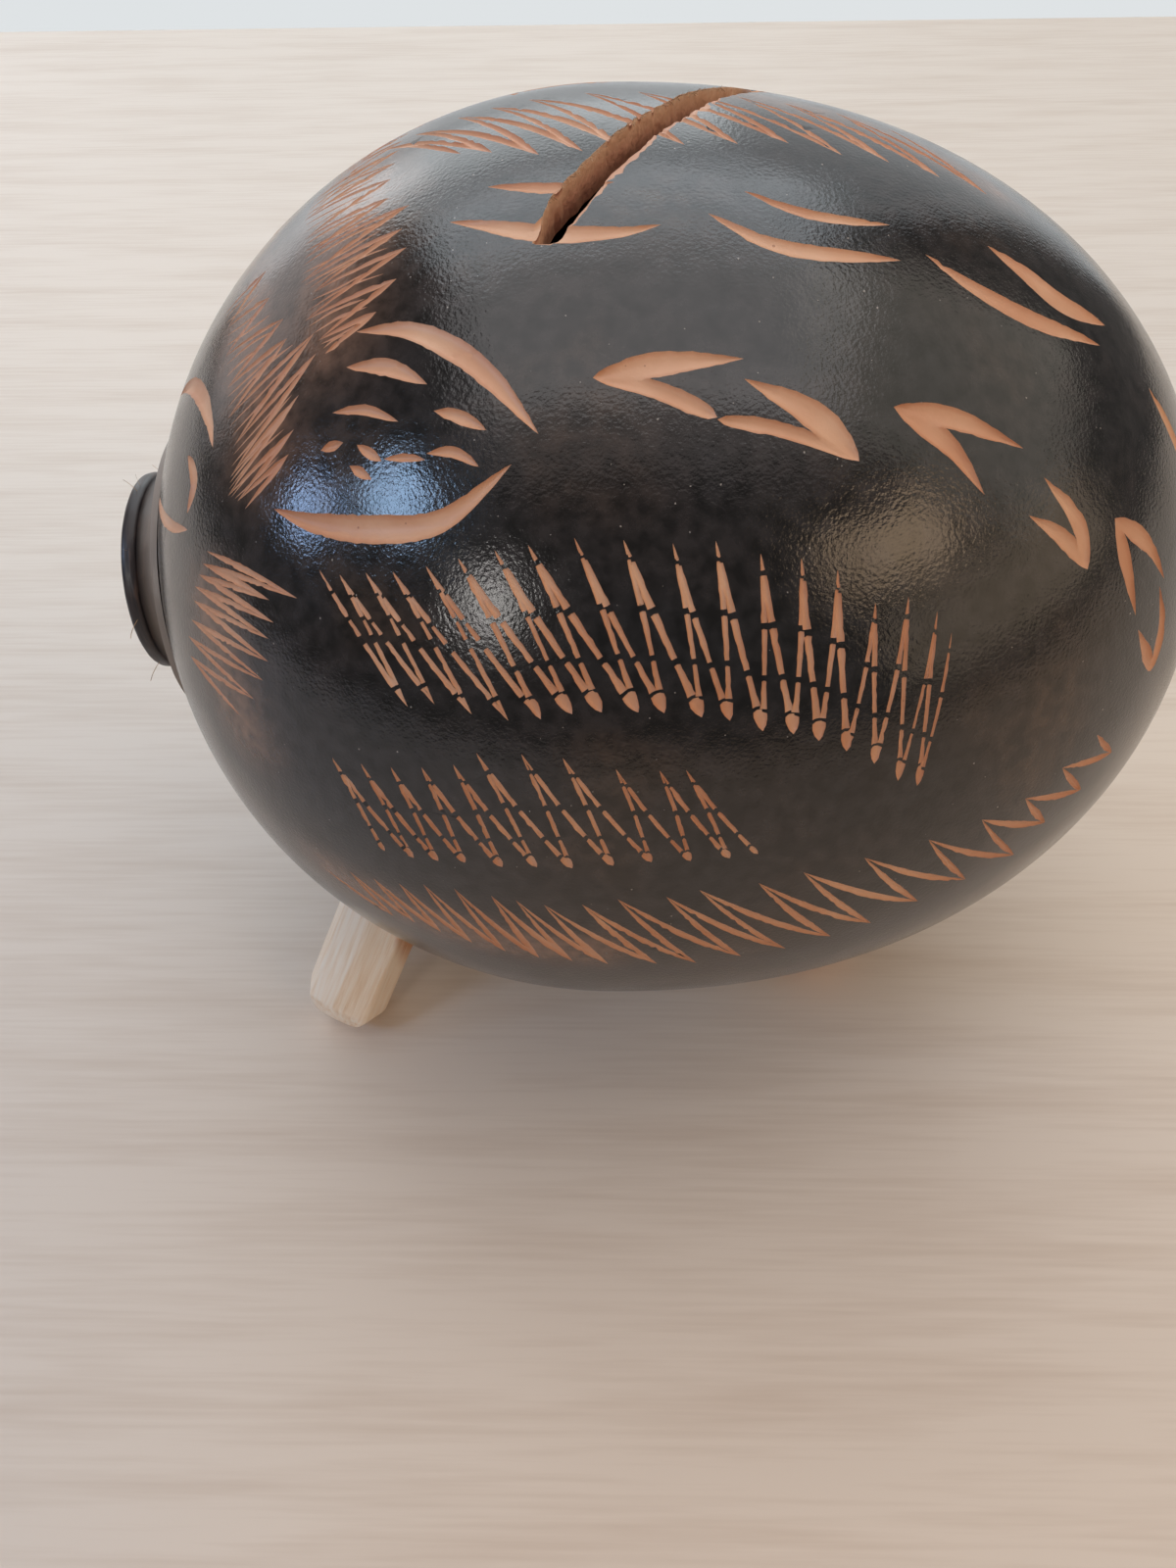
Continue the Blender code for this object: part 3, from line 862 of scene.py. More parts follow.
# finishes, by their place in the list of materials: 0 rind, 1 carved flesh, 2 the slot's wall, 3 inside
def buildShell(materials):
    chance = random.Random(23)
    flat, faces, kinds, depth, uBore, uTail = carveShell()
    outer = toSpace(outerSkin, flat[:, 0], flat[:, 1], depth)
    uInnerBore = atNose(innerSkin, "s", shellForm["boreRadius"])
    uInnerTail = atTail(innerSkin, "s", shellForm["tailRing"])
    boreTurns = endTurns(flat, uBore)
    sheets = [
        (outer, faces, kinds, depth),
        (*tailFan(outerSkin, endTurns(flat, uTail), uTail, 0.0, True), 0, 0.0),
        (*boreWall(boreTurns, uBore, uInnerBore), 3, 0.0),
    ]
    innerHoles = []
    for rim in openRims(faces):
        if np.ptp(flat[rim, 0]) < 0.5:             # the bore's and the tail's own rims
            continue
        place = outer[rim].mean(0)
        if place[2] > middle.z:                    # the slot is in the back, the sockets are in the belly
            spots, walls, hole = holeWall(outer[rim], (0, 0, 1.0), coinSlot["wallSteps"], coinSlot["fibre"],
                                          chance)
            deep = np.repeat(np.linspace(0, 1, coinSlot["wallSteps"] + 1), len(rim))
            sheets.append((spots, walls, 2, deep * cuts["depth"]))
        else:
            leg = min(legs.values(), key=lambda l: np.linalg.norm(place - np.array(l[0])))
            spots, walls, hole = holeWall(outer[rim], leg[1][2], 1, 0.0, chance)
            sheets.append((spots, walls, 3, 0.0))
        innerHoles.append(hole)
    innerFlat, innerFaces = innerSheet(boreTurns, innerHoles, uInnerBore, uInnerTail)
    sheets.append((toSpace(innerSkin, *innerFlat.T), innerFaces, 3, 0.0))
    tailTurns = endTurns(innerFlat, uInnerTail)[:-1]
    sheets.append((*tailFan(innerSkin, tailTurns, uInnerTail, shellForm["wall"], False), 3, 0.0))
    shell = joinSheets("shell_carved", sheets, materials)
    setSkinNormals(shell.data)
    u, v = flatten(outerSkin, readNumbers(shell.data.vertices, "co", width=3) / mm - origin)
    share = np.maximum(scrapedShare(np.column_stack([u, v]), scraped + [crownWear]),
                       scrapedShare(np.column_stack([u, -v]), scraped))
    addAttribute(shell.data, "scraped", share)
    return shell


# welds the sheets, each with points in mm, faces, finish numbers and depths, into one closed mesh; on the
# collar the depths carry its painted neck reflection
def joinSheets(name, sheets, materials):
    spots, faces, kinds, depths = [], [], [], []
    for sheetSpots, sheetFaces, kind, depth in sheets:
        base = sum(len(s) for s in spots)
        faces += [[base + int(i) for i in face] for face in sheetFaces]
        kinds += list(np.broadcast_to(kind, len(sheetFaces)))
        depths.append(np.broadcast_to(depth, len(sheetSpots)))
        spots.append(np.asarray(sheetSpots))
    spots, depths = np.vstack(spots), np.concatenate(depths)
    kept, faces, kinds = weld(spots, faces, kinds)
    mesh = bpy.data.meshes.new(name)
    mesh.from_pydata(spots[kept] * mm, [], faces)
    mesh.polygons.foreach_set("material_index", kinds.astype(np.int32))
    addAttribute(mesh, "carveDepthAndNeckReflection", depths[kept] / cuts["depth"])
    mesh.update()
    uses = Counter(tuple(sorted(side)) for face in faces for side in zip(face, face[1:] + face[:1]))
    print(name, len(mesh.polygons), "faces,", sum(count != 2 for count in uses.values()), "open edges")
    return newPiece(name, mesh, materials)


# the skin's corners get the ovoid's own normals, so the cuts leave no dents in its gloss
def setSkinNormals(mesh):
    mesh.polygons.foreach_set("use_smooth", np.ones(len(mesh.polygons), bool))
    corner = readNumbers(mesh.loops, "vertex_index", np.int32)
    sizes = readNumbers(mesh.polygons, "loop_total", np.int32)
    kind = readNumbers(mesh.polygons, "material_index", np.int32)
    face = np.repeat(np.arange(len(sizes)), sizes)
    weighted = readNumbers(mesh.polygons, "normal", width=3) * readNumbers(mesh.polygons, "area")[:, None]
    finishes = kind.max() + 1
    group = corner * finishes + kind[face]
    total = np.zeros((len(mesh.vertices) * finishes, 3))
    np.add.at(total, group, weighted[face])
    normals = total[group]
    normals /= np.linalg.norm(normals, axis=1)[:, None].clip(1e-12)
    place = readNumbers(mesh.vertices, "co", width=3)[corner] / mm - origin
    u, v = flatten(outerSkin, place)
    skin = (kind[face] == 0) & (abs(place[:, 0]) < shellForm["tailLength"] - 0.001)
    normals[skin] = skinNormal(outerSkin, u[skin], v[skin])
    mesh.update()
    mesh.normals_split_custom_set([tuple(n) for n in normals])


# a ring of points round the shell's length, or round a line beside it, at a station from the widest ring
def turnedRing(station, radius, count, beside=0.0):
    turns = np.linspace(0, 2 * math.pi, count, endpoint=False)
    ring = [np.full(count, station), beside - radius * np.sin(turns), radius * np.cos(turns)]
    return np.column_stack(ring) + origin


# rings of equal length joined into a skin, closed by a fan where a pole is given
def ringSheet(rings, startPole=None, endPole=None):
    count = len(rings[0])
    faces = []
    for i in range(len(rings) - 1):
        faces += bridge(i * count, (i + 1) * count, count)
    spots = [*rings]
    for pole, first in ((startPole, 0), (endPole, (len(rings) - 1) * count)):
        if pole is not None:
            at = sum(len(s) for s in spots)
            spots.append(np.array([pole]))
            faces += [(first + i, first + (i + 1) % count, at) for i in range(count)]
    return np.vstack(spots), faces


# a quarter turn from one outline point round to the next, bulging away from the inner corner
def roundedCorner(start, end, inner, steps=4):
    turns = np.linspace(0, math.pi / 2, steps + 1)
    start, end, inner = (np.array(p, float) for p in (start, end, inner))
    return [tuple(inner + (start - inner) * math.cos(t) + (end - inner) * math.sin(t)) for t in turns]


def pointOutwards(piece, sharpAngle):
    form = bmesh.new()
    form.from_mesh(piece.data)
    bmesh.ops.recalc_face_normals(form, faces=form.faces)
    form.to_mesh(piece.data)
    form.free()
    piece.data.shade_smooth()
    piece.data.set_sharp_from_angle(angle=math.radians(sharpAngle))


turnedCrease = 38          # degrees from which an edge of the turned pieces stays sharp

# the snout's collar: a waisted ring turned out of the same kind of rind, seated on the nose
collarForm = {
    "rimRadius": 12.1,
    "rimThickness": 1.9,
    "rimRound": 0.6,
    "backRound": 0.6,
    "waistRadius": 11.4,
    "waistBehindRim": 1.7,
    "baseEdge": 0.75,
    "seatDepth": 1.8,
    "seatRadius": 9.8,
    "boreRadius": 8.3,
    "gap": 0.12,          # between the collar and the skin
    "around": 192,
    "uneven": 0.16,       # how far the hand-cut rim strays from a true circle
    "strayWaves": 0.13,   # frequency per mm of that, then share and frequency of its fine part
    "strayFine": (0.25, 0.7),
    "trueUpTo": 0.6,      # past the seat's radius, the part that fits the stopper stays a true circle
    "lipCorner": ((0.0, 0.5), (0.08, 0.2), (0.3, 0.0)),    # in from the rim's front, out from the lip
    "boreBevel": 0.2,
    "seatRows": 7,
    "flareRows": 15,
    "neckRows": 9,
}
collarLow, collarHigh = (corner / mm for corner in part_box("snout_collar"))
rimFront = collarLow.x - middle.x
collarBase = (collarHigh.y - collarLow.y) / 2
seatSkin = ovoidTable(-collarForm["gap"])


def seatStation(radius):
    return float(atNose(seatSkin, "x", radius))


def collarOutline():
    form = collarForm
    rim = form["rimRadius"]
    waistR = form["waistRadius"]
    waist = rimFront + form["rimThickness"] + form["waistBehindRim"]
    waistDepth = seatStation(waistR) - waist
    outline = [(seatStation(r), r) for r in np.linspace(form["boreRadius"], collarBase, form["seatRows"])]
    for turn in np.linspace(0, math.pi / 2, form["flareRows"]):
        radius = collarBase - (collarBase - waistR) * math.sin(turn)
        depth = waistDepth + (form["baseEdge"] - waistDepth) * math.cos(turn)
        outline.append((seatStation(radius) - depth, radius))
    back = rimFront + form["rimThickness"]
    for turn in np.linspace(0, math.pi / 2, form["neckRows"])[1:-1]:
        radius = waistR + (rim - waistR) * (1 - math.cos(turn))
        outline.append((waist - form["waistBehindRim"] * math.sin(turn), radius))
    corner = form["backRound"]
    outline += roundedCorner((back, rim - corner), (back - corner, rim), (back - corner, rim - corner))
    corner = form["rimRound"]
    front = rimFront + corner
    outline += roundedCorner((front, rim), (rimFront, rim - corner), (front, rim - corner))
    lip, seat = form["seatRadius"], rimFront + form["seatDepth"]
    outline += [(rimFront + inward, lip + out) for inward, out in form["lipCorner"]] + [(seat, lip)]
    bevel = form["boreBevel"]
    return outline + [(seat, form["boreRadius"] + bevel), (seat + bevel, form["boreRadius"])]


def buildCollar(material):
    rings, paintedNeckReflection = [], []
    outline = collarOutline()
    fitted = collarForm["seatRadius"] + collarForm["trueUpTo"]
    much, often = collarForm["strayFine"]
    # the neck behind the rim gets a pale painted reflection, kept as a depth for its finish to paint
    for station, radius in outline + outline[:1]:
        behind = (station - rimFront - collarForm["rimThickness"]) / collarForm["waistBehindRim"]
        paintedReflectionHere = radius > fitted and behind > 0
        paintedNeckReflection += [min(1.0, behind) * cuts["depth"] if paintedReflectionHere else 0.0] * collarForm["around"]
    for station, radius in outline:
        ring = turnedRing(station, radius, collarForm["around"])
        if radius > fitted:
            out = ring - origin
            out[:, 0] = 0
            stray = np.array([noise.noise(Vector((p[1], p[2], 40)) * collarForm["strayWaves"]) for p in out])
            fine = np.array([noise.noise(Vector(p) * often) for p in ring]) * much
            ring += out / radius * ((stray + fine) * collarForm["uneven"])[:, None]
        rings.append(ring)
    collar = joinSheets("snout_ring", [(*ringSheet(rings + rings[:1]), 0, np.array(paintedNeckReflection))], [material])
    pointOutwards(collar, turnedCrease)
    return collar


# the stopper: a low crowned face with two nostrils, on a spigot that fills the collar's bore
plugForm = {
    "faceRadius": 9.5,
    "faceThickness": 2.4,
    "faceRound": 0.55,
    "crown": 0.22,
    "spigotRadius": 8.0,
    "spigotChamfer": 0.8,
    "nostrilRadius": 1.8,
    "nostrilBevel": 0.3,
    "nostrilDepth": 3.4,
    "nostrilSpacing": 8.8,
    "around": 128,
    "nostrilPoints": 40,
    "meshSize": 0.8,
    "rimRoom": 0.4,        # how far the face's free points keep from its edge and from a nostril
    "nostrilRoom": 0.35,
    "nostrilEdge": ((0.12, 0.1), (0.0, 0.32)),        # past the nostril's radius, and how deep, in mm
    "nostrilBowl": ((0.98, 0.5), (0.93, 0.82), (0.7, 0.95), (0.35, 1.0)),    # shares of radius and depth
    "backBevel": 0.15,
}
plugLow, plugHigh = (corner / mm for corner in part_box("snout_plug"))


def plugCrown(radius):
    return plugForm["crown"] * (radius / plugForm["faceRadius"]) ** 2


def plugFace(front):
    form = plugForm
    rim, nostril = form["faceRadius"] - form["faceRound"], form["nostrilRadius"] + form["nostrilBevel"]
    besides = [side * form["nostrilSpacing"] / 2 for side in (-1, 1)]
    loops = [turnedRing(0, rim, form["around"])]
    loops += [turnedRing(0, nostril, form["nostrilPoints"], beside=beside) for beside in besides]
    steps = np.arange(-form["faceRadius"], form["faceRadius"], form["meshSize"])
    free = np.array([(y + (k % 2) * form["meshSize"] / 2, z) for k, z in enumerate(steps) for y in steps])
    far = np.hypot(free[:, 0], free[:, 1]) < rim - form["rimRoom"]
    for beside in besides:
        far &= np.hypot(free[:, 0] - beside, free[:, 1]) > nostril + form["nostrilRoom"]
    points = [tuple(p) for p in free[far]]
    faces = [addRun(points, anticlockwise((loop - origin)[:, 1:])) for loop in loops]
    flat, found = triangulate(points, [], faces, 1e-5)
    kept = [triangle for triangle, sources in found if 0 in sources and len(sources) == 1]
    stations = front + plugCrown(np.hypot(flat[:, 0], flat[:, 1]))
    return np.column_stack([stations, flat]) + origin, kept


def buildPlug(material):
    form = plugForm
    front = plugLow.x - middle.x
    sheets = [(*plugFace(front), 0, 0.0)]
    for side in (-1, 1):
        beside = side * form["nostrilSpacing"] / 2
        rings = []
        wide, deep = form["nostrilRadius"], form["nostrilDepth"]
        steps = [(wide + form["nostrilBevel"], 0.0)]
        steps += [(wide + out, depth) for out, depth in form["nostrilEdge"]]
        steps += [(wide * out, deep * depth) for out, depth in form["nostrilBowl"]]
        for radius, depth in steps:
            ring = turnedRing(front + depth, radius, form["nostrilPoints"], beside=beside)
            away = np.hypot(ring[:, 1] - middle.y, ring[:, 2] - middle.z)
            ring[:, 0] += plugCrown(away) if depth == 0.0 else plugCrown(form["nostrilSpacing"] / 2)
            rings.append(ring)
        pole = origin + (front + deep + plugCrown(form["nostrilSpacing"] / 2), beside, 0)
        sheets.append((*ringSheet(rings, endPole=pole), 0, 0.0))
    edge, turned = form["faceRound"], form["faceRadius"]
    crown = plugCrown(turned - edge)
    back, end = front + form["faceThickness"], plugHigh.x - middle.x
    spigot, chamfer = form["spigotRadius"], form["spigotChamfer"]
    outline = roundedCorner((front + crown, turned - edge), (front + crown + edge, turned),
                            (front + crown + edge, turned - edge), 5)
    bevel = form["backBevel"]
    outline += [(back - bevel, turned), (back, turned - bevel), (back, spigot + bevel), (back + bevel, spigot)]
    outline += [(end - chamfer, spigot), (end, spigot - chamfer)]
    rings = [turnedRing(station, radius, form["around"]) for station, radius in outline]
    sheets.append((*ringSheet(rings, endPole=origin + (end, 0, 0)), 0, 0.0))
    plug = joinSheets("snout_stopper", sheets, [material])
    pointOutwards(plug, turnedCrease)
    return plug


# the pegs: whittled with a knife, eight uneven flats and slanting cuts round the foot
whittling = {
    "flats": 8,
    "flatDistance": 5.86,      # from the peg's axis to a flat
    "distanceStray": 0.16,
    "turnStray": 4.0,          # degrees
    "footCuts": ((34, 5.75), (62, 5.45)),    # degrees that a cut slants, and its distance from the middle
    "footEnd": 5.6,
    "crispness": 46,           # higher leaves sharper ridges between the cuts
    "around": 144,
    "rowsDown": 22,
    "rowsRound": 20,
    "gap": 0.1,                # between the shoulder and the skin
    "shoulder": (0.35, 0.7),   # shares of the shoulder's width that have a row
    "tenonBevel": 0.5,
    "crease": 60,              # degrees from which an edge stays sharp
}


def whittledPlanes(axes, chance):
    planes = []
    for i in range(whittling["flats"]):
        turn = 2 * math.pi * i / whittling["flats"] + math.radians(chance.gauss(0, whittling["turnStray"]))
        stray = chance.gauss(0, whittling["distanceStray"])
        planes.append(((math.cos(turn), math.sin(turn), 0), whittling["flatDistance"] + stray))
        for slant, distance in whittling["footCuts"]:
            lean = math.radians(slant + chance.gauss(0, whittling["turnStray"]))
            turn += math.radians(chance.gauss(0, 2 * whittling["turnStray"]))
            flat = (math.cos(turn) * math.cos(lean), math.sin(turn) * math.cos(lean), math.sin(lean))
            planes.append((flat, distance + chance.gauss(0, whittling["distanceStray"])))
    planes.append(((0, 0, 1), whittling["footEnd"]))
    planes.append((tuple(axes @ np.array((0, 0, -1))), legForm["footCentre"]))
    return np.array([p[0] for p in planes]), np.array([p[1] for p in planes])


# distance from points on the peg's axis, measured from the foot's middle, to the cuts along the directions
def whittledReach(heights, directions, planes):
    normals, distances = planes
    facing = directions @ normals.T
    run = distances - np.outer(heights, normals[:, 2])
    inverse = np.where(facing > 1e-3, facing / np.maximum(run, 1e-3), 0)
    sharp = whittling["crispness"]
    return (inverse ** sharp).sum(1) ** (-1 / sharp)


def buildLeg(name, material, chance):
    entry, axes, reach = legs[name]
    planes = whittledPlanes(axes, chance)
    turns = np.linspace(0, 2 * math.pi, whittling["around"], endpoint=False)
    circle = np.column_stack([np.cos(turns), np.sin(turns), 0 * turns])

    def toWorld(local):
        return local @ axes + np.array(entry)

    def onSkin(local):
        place = meetSkin(outerSkin, toWorld(local), axes[2])[2]
        return (place - np.array(entry)) @ axes.T + (0, 0, whittling["gap"])

    width = whittledReach(np.full(len(turns), -reach), circle, planes)
    top = onSkin(circle * width[:, None])
    tenon = legForm["tenonRadius"]
    peak = -shellForm["wall"] - legForm["tenonPastWall"]
    bevel = whittling["tenonBevel"]
    rings = [circle * (tenon - bevel) + (0, 0, peak), circle * tenon + (0, 0, peak + bevel)]
    rings += [onSkin(circle * tenon)]
    rings += [onSkin(circle * (tenon + (width - tenon) * share)[:, None]) for share in whittling["shoulder"]]
    for share in np.linspace(0, 1, whittling["rowsDown"]):
        height = top[:, 2] * (1 - share) + reach * share
        out = whittledReach(height - reach, circle, planes)
        rings.append(circle * out[:, None] + np.outer(height, (0, 0, 1)))
    for lean in np.linspace(0, math.pi / 2, whittling["rowsRound"] + 1)[1:-1]:
        direction = circle * math.cos(lean) + (0, 0, math.sin(lean))
        out = whittledReach(0 * turns, direction, planes)
        rings.append(direction * out[:, None] + (0, 0, reach))
    tip = whittledReach(np.zeros(1), np.array([(0, 0, 1.0)]), planes)[0]
    spots, faces = ringSheet(rings, startPole=(0, 0, peak), endPole=(0, 0, reach + tip))
    place = toWorld(spots)
    place[:, 2] = np.maximum(place[:, 2], 0)
    leg = joinSheets(name.replace("leg", "whittled_leg"), [(place, faces, 0, 0.0)], [material])
    pointOutwards(leg, whittling["crease"])
    local = (readNumbers(leg.data.vertices, "co", width=3) / mm - np.array(entry)) @ axes.T
    addAttribute(leg.data, "grain", local)
    # painted shade: the tailward side, turned from the light, gets a share of brown
    addAttribute(leg.data, "paintedShadeSide", local @ axes[:, 0] / legForm["radius"])
    return leg


# torn fibres along the slot's lip and at the snout's rim, scattered by Geometry Nodes along a line
fibres = {
    "lip": {"spacing": 0.2, "length": 0.42, "thick": 0.022, "spread": 0.55, "seed": 5},
    "snout": {"spacing": 7.5, "length": 2.6, "thick": 0.035, "spread": 0.6, "seed": 9},
    "sides": 4,
    "segments": 4,
    "bend": ((0, 0, 0), (0.02, 0, 0.6), (0.22, 0, 1.0)),   # a strand of length 1, from its root to its tip
    "taperFrom": 1.06,
    "lengthStray": (0.35, 1.3),
    "lipEnds": 8,               # points of the lip without fuzz at either end
    "lipSink": 0.1,             # how far the roots sit below the skin
    "lipLean": (0.7, 0.15),     # across the slot, and off the skin
    "snoutLine": (1.0, 12.0, 60),    # mm behind the rim's front, radius, points
    "snoutLean": -0.5,          # forwards
}


def fibreTree(material):
    tree = bpy.data.node_groups.new("tornFibres", "GeometryNodeTree")
    sockets = [("Line", "NodeSocketGeometry"), ("Spacing", "NodeSocketFloat"), ("Length", "NodeSocketFloat"),
               ("Thickness", "NodeSocketFloat"), ("Spread", "NodeSocketFloat"), ("Seed", "NodeSocketInt")]
    for name, kind in sockets:
        tree.interface.new_socket(name, in_out="INPUT", socket_type=kind)
    tree.interface.new_socket("Fibres", in_out="OUTPUT", socket_type="NodeSocketGeometry")
    given = addNode(tree, "NodeGroupInput").outputs
    curve = addNode(tree, "GeometryNodeMeshToCurve", {"Mesh": given["Line"]}).outputs["Curve"]
    points = addNode(tree, "GeometryNodeCurveToPoints", {"Curve": curve, "Length": given["Spacing"]},
                     mode="LENGTH")
    lean = addNode(tree, "GeometryNodeInputNamedAttribute", {"Name": "lean"}, data_type="FLOAT_VECTOR")
    stray = addNode(tree, "FunctionNodeRandomValue", {0: (-1, -1, -1), 1: (1, 1, 1), "Seed": given["Seed"]},
                    data_type="FLOAT_VECTOR")
    tilt = addNode(tree, "ShaderNodeVectorMath", {0: stray, "Scale": given["Spread"]}, operation="SCALE")
    aim = addNode(tree, "ShaderNodeVectorMath", {0: lean.outputs["Attribute"], 1: tilt}, operation="ADD")
    turn = addNode(tree, "FunctionNodeAlignRotationToVector", {"Vector": aim}, axis="Z")
    roll = addNode(tree, "FunctionNodeRandomValue", {2: 0.0, 3: 6.28, "Seed": given["Seed"]}, data_type="FLOAT")
    spin = addNode(tree, "ShaderNodeCombineXYZ", {"Z": roll})
    turned = addNode(tree, "FunctionNodeRotateRotation", {0: turn, 1: spin}, rotation_space="LOCAL")
    bend = addNode(tree, "GeometryNodeCurveQuadraticBezier",
                   {"Resolution": fibres["segments"], **dict(zip(("Start", "Middle", "End"), fibres["bend"]))})
    along = addNode(tree, "GeometryNodeSplineParameter").outputs["Factor"]
    taper = addNode(tree, "ShaderNodeMath", {0: fibres["taperFrom"], 1: along}, operation="SUBTRACT")
    shaped = addNode(tree, "GeometryNodeSetCurveRadius", {"Curve": bend, "Radius": taper})
    ratio = addNode(tree, "ShaderNodeMath", {0: given["Thickness"], 1: given["Length"]}, operation="DIVIDE")
    ring = addNode(tree, "GeometryNodeCurvePrimitiveCircle", {"Resolution": fibres["sides"], "Radius": ratio})
    strand = addNode(tree, "GeometryNodeCurveToMesh",
                     {"Curve": shaped, "Profile Curve": ring, "Fill Caps": True})
    low, high = fibres["lengthStray"]
    size = addNode(tree, "FunctionNodeRandomValue", {2: low, 3: high, "Seed": given["Seed"]}, data_type="FLOAT")
    length = addNode(tree, "ShaderNodeMath", {0: size, 1: given["Length"]}, operation="MULTIPLY")
    placed = addNode(tree, "GeometryNodeInstanceOnPoints",
                     {"Points": points.outputs["Points"], "Instance": strand, "Rotation": turned,
                      "Scale": length})
    real = addNode(tree, "GeometryNodeRealizeInstances", {"Geometry": placed})
    dressed = addNode(tree, "GeometryNodeSetMaterial", {"Geometry": real, "Material": material})
    addNode(tree, "NodeGroupOutput", {"Fibres": dressed})
    return tree


# the line is points in mm, with the direction that the fibres lean in at each point
def addFibres(name, line, lean, kind, tree):
    mesh = bpy.data.meshes.new(name + "_line")
    mesh.from_pydata(np.array(line) * mm, [(i, i + 1) for i in range(len(line) - 1)], [])
    addAttribute(mesh, "lean", lean)
    base = newPiece(name + "_line", mesh, [])
    modifier = base.modifiers.new("fibres", "NODES")
    modifier.node_group = tree
    sizes = fibres[kind]
    values = {"Spacing": sizes["spacing"] * mm, "Length": sizes["length"] * mm,
              "Thickness": sizes["thick"] * mm, "Spread": sizes["spread"], "Seed": sizes["seed"]}
    for item in tree.interface.items_tree:
        if item.in_out == "INPUT" and item.name in values:
            modifier[item.identifier] = values[item.name]
    graph = bpy.context.evaluated_depsgraph_get()
    grown = bpy.data.meshes.new_from_object(base.evaluated_get(graph))
    bpy.data.objects.remove(base, do_unlink=True)
    bpy.data.meshes.remove(mesh)
    grown.name = name
    print(name, len(grown.polygons), "faces")
    return toScene(name, grown)


# the slot's headward lip, as points on the skin, and the way across the slot in which its fuzz leans
def slotLip(outline):
    ends = fibres["lipEnds"]
    flat = outline[len(outline) // 2 + ends:-ends]
    place = toSpace(outerSkin, flat[:, 0], flat[:, 1], fibres["lipSink"])
    turn = math.radians(coinSlot["turn"])
    across = np.array([math.cos(turn), -math.sin(turn), 0])
    normal = skinNormal(outerSkin, flat[:, 0], flat[:, 1])
    sideways, up = fibres["lipLean"]
    return place, across * sideways + normal * up


# rind: dyed, waxed and handled; near-black and glossy, with pitted pores, brown scraped places and dust
def rindMaterial():
    material, tree, shader = newMaterial("waxedDarkRind")
    place = addNode(tree, "ShaderNodeTexCoord").outputs["Object"]
    patches = addNode(tree, "ShaderNodeTexNoise", {"Vector": place, "Scale": 1 / (17 * mm), "Detail": 3.0})
    tone = addNode(tree, "ShaderNodeValToRGB", {"Fac": patches},
                   stops=[(0.36, "#282627"), (0.55, "#312b2a"), (0.74, "#45352a")])
    mottle = addNode(tree, "ShaderNodeTexNoise", {"Vector": place, "Scale": 1 / (1.6 * mm), "Detail": 5.0})
    shade = addNode(tree, "ShaderNodeValToRGB", {"Fac": mottle}, stops=[(0.35, "#8f8f8f"), (0.65, "#ffffff")])
    skin = addNode(tree, "ShaderNodeMix", {factor: 1.0, under: tone, over: shade}, data_type="RGBA",
                   blend_type="MULTIPLY")
    scrape = addNode(tree, "ShaderNodeAttribute", attribute_name="scraped").outputs["Fac"]
    wearAndPaintedLight = addNode(tree, "ShaderNodeMapRange",
                   {"Value": mottle, "From Min": 0.3, "From Max": 0.7, "To Min": 0.35, "To Max": 1.0})
    thinned = addNode(tree, "ShaderNodeMath", {0: scrape, 1: wearAndPaintedLight}, operation="MULTIPLY")
    brown = addNode(tree, "ShaderNodeMix", {factor: thinned, under: skin, over: colour("#84614d")},
                    data_type="RGBA")
    stray = addNode(tree, "ShaderNodeVectorMath",
                    {0: mottle.outputs["Color"], 1: (0.5 * mm, 0.5 * mm, 0.5 * mm), 2: place},
                    operation="MULTIPLY_ADD")
    cells = addNode(tree, "ShaderNodeTexVoronoi", {"Vector": stray, "Scale": 1 / (1.3 * mm), "Randomness": 1.0})
    pick = addNode(tree, "ShaderNodeMapRange",
                   {"Value": cells.outputs["Color"], "From Min": 0.4, "From Max": 0.85, "To Min": 0.0,
                    "To Max": 0.07})
    speck = addNode(tree, "ShaderNodeMath", {0: cells, 1: pick}, operation="LESS_THAN")
    dust = addNode(tree, "ShaderNodeMath", {0: speck, 1: 0.8}, operation="MULTIPLY")
    dusty = addNode(tree, "ShaderNodeMix", {factor: dust, under: brown, over: colour("#a39a92")},
                    data_type="RGBA")
    smear = addNode(tree, "ShaderNodeTexNoise", {"Vector": place, "Scale": 1 / (7 * mm), "Detail": 6.0})
    gloss = addNode(tree, "ShaderNodeMapRange",
                    {"Value": smear, "From Min": 0.3, "From Max": 0.7, "To Min": 0.11, "To Max": 0.21})
    pores = addNode(tree, "ShaderNodeTexNoise", {"Vector": place, "Scale": 1 / (0.36 * mm), "Detail": 2.0})
    waves = addNode(tree, "ShaderNodeTexNoise", {"Vector": place, "Scale": 1 / (5.5 * mm), "Detail": 0.0})
    rolling = addNode(tree, "ShaderNodeBump", {"Height": waves, "Distance": 0.09 * mm, "Strength": 1.0})
    peel = addNode(tree, "ShaderNodeBump",
                   {"Height": pores, "Distance": 0.032 * mm, "Strength": 1.0, "Normal": rolling})
    fill(tree, shader, {"Base Color": dusty, "Roughness": gloss, "IOR": 1.62, "Normal": peel})
    return material


